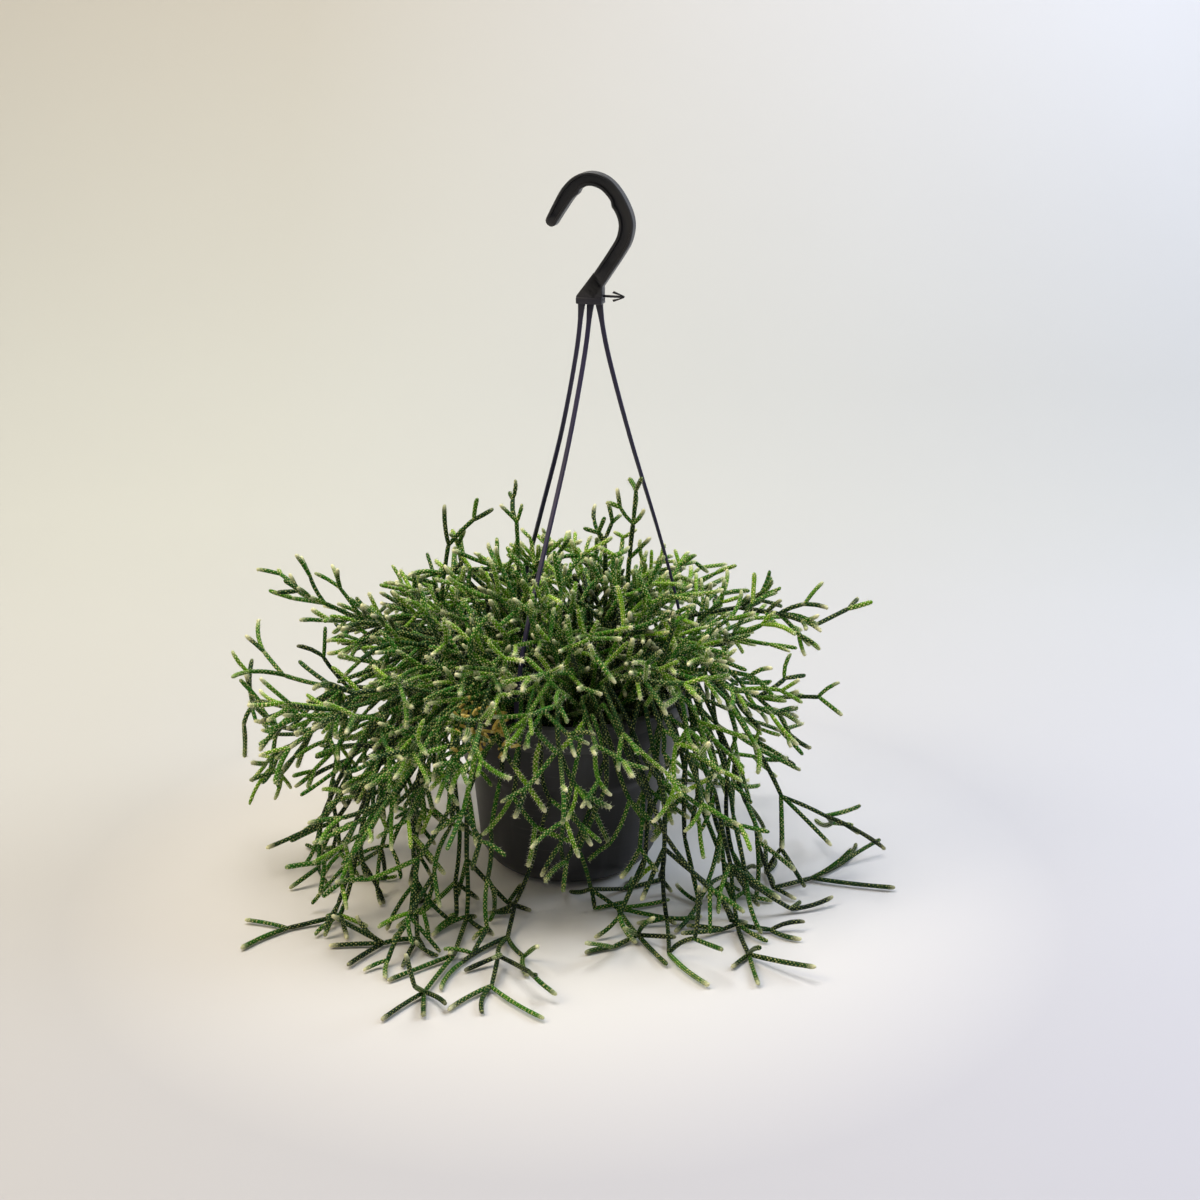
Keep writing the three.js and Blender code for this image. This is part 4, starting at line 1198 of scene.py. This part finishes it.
soil_outline = [
    (0, INSIDE), *corner(CORNER_R - INSIDE), (STEP_BELOW[0] - INSIDE, STEP_BELOW[1] + 0.6),
    (STEP_ABOVE[0] - INSIDE, STEP_ABOVE[1] + 0.6), (74, SOIL_Z - 3), (73, SOIL_Z - 1.2),
    *[(r, SOIL_Z) for r in range(SOIL_R, 0, -SOIL_NET)], (0, SOIL_Z),
]
bm = spun(soil_outline, SOIL_STEPS)
for vert in bm.verts:
    x, y, z = vert.co / MM
    if z > SOIL_Z - 1:
        vert.co.z += MM * bump_of(x, y)
dice = Dice(57)
for i in range(CRUMBS + GRAINS):
    radius = dice.between(0.8, 2.4) if i < CRUMBS else dice.between(0.9, 1.7)
    heading, out = dice.between(0, 360), SOIL_R * math.sqrt(dice.roll())
    place = Vector(around(heading, out, SOIL_Z + dice.between(-0.4, 0.8))) * MM
    shape = Matrix.Diagonal((dice.between(0.7, 1.3), dice.between(0.7, 1.2), dice.between(0.6, 0.9), 1))
    turn = Matrix.Rotation(dice.between(0, math.tau), 4, "Z")
    made = bmesh.ops.create_icosphere(bm, subdivisions=1, radius=radius * MM,
                                      matrix=Matrix.Translation(place) @ turn @ shape)
    if i >= CRUMBS:
        for face in {face for vert in made["verts"] for face in vert.link_faces}:
            face.material_index = 1
soil = piece_from(bm, "soil_body", [potting_soil, perlite], "soil", ["soil"], smooth=False)
print("soil faces:", len(soil.data.polygons))

# %% [markdown]
# ## The hanger
#
# The hanger is one moulding of darker, glossier plastic: a hook with a sunk web between two flanges,
# a three-cornered block with a thick lip under it, a small arrow-shaped barb, and three straps. The
# hook is a section that is extruded along the hook's middle line, and it dips a little between two
# bumps where the rail goes. The straps are the same idea with a plain section that widens towards the
# block. Each strap leaves the block in the plane of the hook and turns to face the rim on its way down.

# %% Sections along a line
def rise(value, start, end):
    """How far value has come from start to end, held between 0 and 1."""
    return min(1, max(0, (value - start) / (end - start)))


def smooth_line(points, count):
    """Places and directions along a smooth line through the points, evenly spread."""
    points = np.array(points, float)
    ends = np.vstack([2 * points[0] - points[1], points, 2 * points[-1] - points[-2]])
    fine = []
    for p0, p1, p2, p3 in zip(ends, ends[1:], ends[2:], ends[3:]):
        for t in np.linspace(0, 1, 24, endpoint=False):
            fine.append(0.5 * (2 * p1 + (p2 - p0) * t + (2 * p0 - 5 * p1 + 4 * p2 - p3) * t ** 2
                               + (3 * p1 - p0 - 3 * p2 + p3) * t ** 3))
    fine.append(points[-1])
    fine = np.array(fine)
    run = np.concatenate([[0], np.cumsum(np.linalg.norm(np.diff(fine, axis=0), axis=1))])
    even = np.linspace(0, run[-1], count)
    places = np.stack([np.interp(even, run, fine[:, axis]) for axis in range(fine.shape[1])], 1)
    ways = np.gradient(places, axis=0)
    return places, ways / np.linalg.norm(ways, axis=1)[:, None]


def swept(bm, rings):
    """Extrudes a first ring of points through all the others and caps both ends."""
    verts = [bm.verts.new(p) for p in rings[0]]
    edges = [bm.edges.new((verts[i], verts[(i + 1) % len(verts)])) for i in range(len(verts))]
    first = bm.faces.new(verts)
    for ring in rings[1:]:
        made = bmesh.ops.extrude_edge_only(bm, edges=edges)["geom"]
        old = {vert: i for i, vert in enumerate(verts)}
        verts = [None] * len(ring)
        for vert in verts_in(made):
            below = next(e.other_vert(vert) for e in vert.link_edges if e.other_vert(vert) in old)
            verts[old[below]] = vert
        for vert, place in zip(verts, ring):
            vert.co = place
        edges = [bm.edges.get((verts[i], verts[(i + 1) % len(verts)])) for i in range(len(verts))]
    bm.faces.new(verts)
    bmesh.ops.recalc_face_normals(bm, faces=bm.faces)


print("half of the way from 2 to 4:", rise(3, 2, 4))

# %% Hook
HOOK_T, HOOK_HALF_W, TIP_HALF_W = 8, 4.75, 3.7
HOOK_LINE = [
    (-25.2, 444.4), (-20.1, 453), (-14.3, 462), (-7.8, 468.4), (0.4, 471.2), (9.2, 468.8), (15.9, 462.6),
    (21.4, 453.6), (24.3, 444.4), (22.8, 434.6), (18, 426), (10.5, 414.8), (2.9, 403.5), (-0.2, 399),
]
HOOK_RINGS = 72
FLANGE, WEB_DEPTH, WEB_SLOPE, HOOK_EDGE = 1.7, 2.2, 0.5, 0.55
# places along the hook, as shares of its length from the tip
WIDE_FROM = 0.16
SEAT_DIP, SEAT_FROM, SEAT_TO = 0.8, (0.21, 0.23), (0.46, 0.48)
BUMP_H, BUMP_W, BUMPS = 0.6, 0.014, (0.195, 0.495)
WEB_FROM, WEB_TO = (0.01, 0.03), (0.82, 0.9)
TIP_ROUND = (0.45, 0.78, 0.95)  # rings that round the tip off, as shares of its half width
hook_frame = Matrix.Translation((HOOK_X * MM, 0, 0)) @ Matrix.Rotation(math.radians(HOOK_TURN), 4, "Z")


def flange(half, lip, sunk):
    """One side of the hook's section, from the web's face over the rounded edge to its other face."""
    t, web, e = HOOK_T / 2, HOOK_T / 2 - WEB_DEPTH * sunk, HOOK_EDGE
    inside = half - lip
    slope = inside - WEB_SLOPE * sunk - 0.05
    return [(slope, web), (inside, t), (half - e, t), (half, t - e), (half, e - t), (half - e, -t),
            (inside, -t), (slope, -web)]


def lip_at(half):
    """The width of the raised lip on each side, less where the hook is narrow."""
    return FLANGE * min(1, half / 4)


def hook_ring(place, way, outer, inner, narrow=1, flat=1):
    """A section of the hook, set across its middle line."""
    across = point(-way[1], way[0])
    section = outer + [(-n, y) for n, y in reversed(inner)]
    spots = [(place + across * n * narrow, y * flat) for n, y in section]
    return [hook_frame @ (Vector((x, y, z)) * MM) for (x, z), y in spots]


places, ways = smooth_line(HOOK_LINE, HOOK_RINGS)
rings = []
for share in reversed(TIP_ROUND):
    narrow = math.sqrt(1 - share ** 2)
    side = flange(TIP_HALF_W, lip_at(TIP_HALF_W), 0)
    place = places[0] - ways[0] * TIP_HALF_W * share
    rings.append(hook_ring(place, ways[0], side, side, narrow, 0.6 + 0.4 * narrow))
for i, (place, way) in enumerate(zip(places, ways)):
    u = i / (HOOK_RINGS - 1)
    half = TIP_HALF_W + (HOOK_HALF_W - TIP_HALF_W) * rise(u, 0, WIDE_FROM)
    seat = rise(u, *SEAT_FROM) * (1 - rise(u, *SEAT_TO))
    bump = sum(BUMP_H * math.exp(-((u - middle) / BUMP_W) ** 2) for middle in BUMPS)
    sunk = rise(u, *WEB_FROM) * (1 - rise(u, *WEB_TO))
    inner = half - SEAT_DIP * seat + bump
    lip = lip_at(half)
    rings.append(hook_ring(place, way, flange(half, lip, sunk), flange(inner, lip, sunk)))
hanger_bm = bmesh.new()
swept(hanger_bm, rings)
print("hook faces:", len(hanger_bm.faces))

# %% Block, lip and barb
BLOCK_HALF, BLOCK_LOW, LIP_TOP, LIP_T, BARB_T = 8.7, 394, 396.8, 9.6, 1.5
BLOCK = [
    (-BLOCK_HALF, BLOCK_LOW), (BLOCK_HALF, BLOCK_LOW), (BLOCK_HALF, 406), (3.2, 413), (-BLOCK_HALF, 397.4),
]
LIP = [(-BLOCK_HALF, LIP_Z), (BLOCK_HALF, LIP_Z), (BLOCK_HALF, LIP_TOP), (-BLOCK_HALF, LIP_TOP)]
BARB = [
    (8.2, 396.85), (20.4, 396.85), (14.6, 395.5), (15.5, 394.1), (22.3, 396.9), (22.6, 397.6), (22.3, 398.3),
    (15.5, 401.1), (14.6, 399.7), (20.4, 398.35), (8.2, 398.35),
]


def plate(outline, thick, edge):
    """A flat plate in the plane of the hook, bevelled."""
    bm = bmesh.new()
    face = bm.faces.new([bm.verts.new((x * MM, -thick / 2 * MM, z * MM)) for x, z in outline])
    far = bmesh.ops.extrude_face_region(bm, geom=[face])["geom"]
    bmesh.ops.translate(bm, verts=verts_in(far), vec=(0, thick * MM, 0))
    bmesh.ops.recalc_face_normals(bm, faces=bm.faces)
    bevel_edges(bm, list(bm.edges), edge)
    bmesh.ops.transform(bm, matrix=hook_frame, verts=bm.verts)
    return bm


def gather(target, source):
    """Adds one bmesh to another."""
    mesh = bpy.data.meshes.new("part")
    source.to_mesh(mesh)
    source.free()
    target.from_mesh(mesh)
    bpy.data.meshes.remove(mesh)


for outline, thick, edge in ((BLOCK, HOOK_T, 0.5), (LIP, LIP_T, 0.7), (BARB, BARB_T, 0.25)):
    gather(hanger_bm, plate(outline, thick, edge))
print("hook and block faces:", len(hanger_bm.faces))

# %% Straps
STRAP_W, STRAP_T, STRAP_EDGE = 3, 2, 0.45
TOP_W, TOP_T, TAPER, FLARE = 4.8, 2.4, 13, 1.4  # at the block, and how it narrows from there
CLIP_W, CLIP_FROM, CLIP_TO = 5, 155, 149  # each strap widens into its clip between these heights
HEAD, HEAD_DROP, HEAD_EDGE = (2.4, 8, 2.2), 1.4, 0.4  # the clip's head, under the rim's shelf
STRAP_RINGS = 60
TWIST = (200, 380)  # heights between which each strap turns


def rounded(half_w, half_t):
    """A strap's section with its corners cut off."""
    w, t = half_w - STRAP_EDGE, half_t - STRAP_EDGE
    return [(w, half_t), (half_w, t), (half_w, -t), (w, -half_t), (-w, -half_t), (-half_w, -t), (-half_w, t),
            (-w, half_t)]


for name, heading, offset, slack in STRAPS:
    route = strap_route(heading, offset, slack)
    top, end = route[0], route[-1]
    places, ways = smooth_line([top + UP * 3, *route, point(end[0], end[1], SHELF_Z - 0.6)], STRAP_RINGS)
    lean = unit(point(end[0] - top[0], end[1] - top[1], 0))
    broad = point(-lean[1], lean[0], 0)
    in_plane = point(hook_frame[0][0], hook_frame[1][0], 0)
    in_plane *= 1 if in_plane @ broad > 0 else -1
    along_rim = around(heading + 90, 1, 0)
    rings = []
    for here, way in zip(places, ways):
        flare = rise(here[2], LIP_Z - TAPER, LIP_Z) ** FLARE
        clip = 1 - rise(here[2], CLIP_TO, CLIP_FROM)
        twist = rise(here[2], *TWIST)
        half_w = (STRAP_W + (TOP_W - STRAP_W) * flare + (CLIP_W - STRAP_W) * clip) / 2
        half_t = (STRAP_T + (TOP_T - STRAP_T) * flare) / 2
        wide = unit(broad * (1 - twist) + in_plane * twist)
        wide = unit(wide * (1 - clip) + along_rim * clip)
        thin = unit(np.cross(way, wide))
        rings.append([Vector(here + wide * w + thin * t) * MM for w, t in rounded(half_w, half_t)])
    swept(hanger_bm, rings)
    head = bmesh.new()
    box(head, heading, SLOT_R, SHELF_Z - HEAD_DROP, HEAD)
    bevel_edges(head, list(head.edges), HEAD_EDGE)
    gather(hanger_bm, head)
print("hanger faces with straps:", len(hanger_bm.faces))

# %% [markdown]
# The hook is charcoal. The straps are thin enough for the dye to show, so they look indigo, and the two
# colours meet just under the block. Both are smoother than the pot.

# %% Hanger plastic
CHARCOAL_FROM = (0.375, 0.4)  # metres above the floor
HANGER_SMOOTH_TO = 40  # degrees up to which the shading runs on
f = Finish("hanger_plastic")
haze = f.noise(180, 4, 0.6)
flow = f.noise(14, 3)
height = f.split(f.place())[2]
charcoal = f.ramp(flow, (0.3, (0.012, 0.012, 0.014)), (0.7, (0.032, 0.03, 0.03)))
indigo = f.ramp(flow, (0.3, (0.014, 0.01, 0.036)), (0.7, (0.028, 0.021, 0.075)))
tone = f.mix(height.over(*CHARCOAL_FROM), indigo, charcoal)
hanger_plastic = f.surface(base_color=tone, roughness=0.3 + haze * 0.22, normal=f.bump(haze, 0.25, 0.0003))
hanger = piece_from(hanger_bm, "hanger", [hanger_plastic], "hanger_plastic",
                    ["hanger_hook", "strap_right", "strap_front_left", "strap_back_left"])
hanger.data.set_sharp_from_angle(angle=math.radians(HANGER_SMOOTH_TO))
print("hanger faces:", len(hanger.data.polygons))

# %% [markdown]
# ## Floor and light
#
# The pot stands on a white sheet that rises behind it with no edge. Its outline is extruded sideways.
# Painted light and shade are in the sheet's colour: it is warmer and darker on the left, cooler on the right,
# and brighter round the pot, which lightens the shadow of the bush there.

# %% Floor
FLOOR_W, FLOOR_FRONT, SWEEP_FROM, SWEEP_R, WALL_H = 9, -3, 0.62, 1.1, 3.4
SWEEP_STEPS = 32
floor_bm = bmesh.new()
profile = [(FLOOR_FRONT, 0)]
turns = np.linspace(0, math.pi / 2, SWEEP_STEPS + 1)
profile += [(SWEEP_FROM + SWEEP_R * math.sin(t), SWEEP_R - SWEEP_R * math.cos(t)) for t in turns]
profile.append((SWEEP_FROM + SWEEP_R, WALL_H))
line = [floor_bm.verts.new((-FLOOR_W / 2, y, z)) for y, z in profile]
edges = [floor_bm.edges.new(pair) for pair in zip(line, line[1:])]
made = bmesh.ops.extrude_edge_only(floor_bm, edges=edges)["geom"]
bmesh.ops.translate(floor_bm, verts=verts_in(made), vec=(FLOOR_W, 0, 0))
bmesh.ops.recalc_face_normals(floor_bm, faces=floor_bm.faces)
if floor_bm.faces[0].normal.z < 0:
    bmesh.ops.reverse_faces(floor_bm, faces=floor_bm.faces)
mesh = bpy.data.meshes.new("floor")
for face in floor_bm.faces:
    face.smooth = True
floor_bm.to_mesh(mesh)
floor_bm.free()
floor = linked("floor", mesh)
print("floor faces:", len(mesh.polygons))

# %% White sheet
PAINTED_LIGHT_LEFT = ((0.5, 0.475, 0.46), (0.61, 0.6, 0.54))  # painted light and shade on the floor, in front and behind
PAINTED_LIGHT_RIGHT = ((0.58, 0.58, 0.7), (0.57, 0.57, 0.59))
PAINTED_LIGHT_HIGH = ((0.6, 0.55, 0.47), (0.9, 0.9, 0.97))  # painted light up the wall, left and right
PAINTED_FILL_NEAR = ((0.97, 0.89, 0.78), (0.95, 0.95, 1))  # painted fill light round the pot, left and right, against the shadow of the bush
SHEET_CLOUD = (0.45, 0.42, 0.4)
f = Finish("white_sheet")
across, depth, height = f.split(f.place())
left_to_right, backwards, upwards = across.over(-0.4, 0.8), depth.over(-0.3, 0.8), height.over(0.1, 0.7)
# painted light: the sheet's tone shifts from left to right, from front to back and up the wall
low_tone = f.mix(left_to_right, f.mix(backwards, *PAINTED_LIGHT_LEFT), f.mix(backwards, *PAINTED_LIGHT_RIGHT))
sheet = f.mix(upwards, low_tone, f.mix(left_to_right, *PAINTED_LIGHT_HIGH))
from_pot = depth + 0.04
# painted fill light: the sheet is brightened round the pot, where the bush shadows it
near = 1 - ((across * across + from_pot * from_pot) ** 0.5).over(0.08, 0.34)
sheet = f.mix(near * 0.75, sheet, f.mix(left_to_right, *PAINTED_FILL_NEAR))
cloud = f.noise(2.2, 3) * 0.12
mesh.materials.append(f.surface(base_color=f.mix(cloud, sheet, SHEET_CLOUD), roughness=0.8))
floor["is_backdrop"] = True
print("sheet nodes:", len(f.tree.nodes))

# %% [markdown]
# The light is soft: a broad warm lamp from the left and front, a cooler one from the right and behind,
# the strongest one overhead, and a pale sky that fills the shadows.

# %% Light
LAMPS = [  # name, place, aim, width in metres, watts and colour
    ("warm_left", (-1.5, -0.5, 1.7), (0, 0, 0.15), 1.2, 24, (1, 0.88, 0.64)),
    ("cool_side", (1.7, 0.3, 1.4), (0, 0, 0.2), 1.2, 25, (0.74, 0.86, 1)),
    ("overhead", (-0.25, 0.2, 2.2), (0, 0, 0), 1.4, 34, (1, 0.99, 0.95)),
]
SKY_COLOUR, SKY_STRENGTH = (0.93, 0.95, 1, 1), 0.22

for name, place, aim, size, power, colour in LAMPS:
    data = bpy.data.lights.new(name, "AREA")
    data.shape, data.size, data.energy, data.color = "DISK", size, power, colour
    lamp = linked(name, data)
    lamp.location = place
    lamp.rotation_euler = (Vector(aim) - Vector(place)).to_track_quat("-Z", "Y").to_euler()
world = bpy.data.worlds.new("room")
world.use_nodes = True
sky = world.node_tree.nodes["Background"].inputs
sky["Color"].default_value, sky["Strength"].default_value = SKY_COLOUR, SKY_STRENGTH
bpy.context.scene.world = world
bpy.context.scene.view_settings.view_transform = "Standard"
print("lamps:", len(bpy.data.lights))

# %% [markdown]
# ## The dressed box
#
# Both boxes are printed, the solids' one at the start and the dressed one here. The dressed object
# has to stay inside the solids' box.

# %% Finish
low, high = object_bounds()
print("dressed box:", [round(v, 3) for v in high - low])
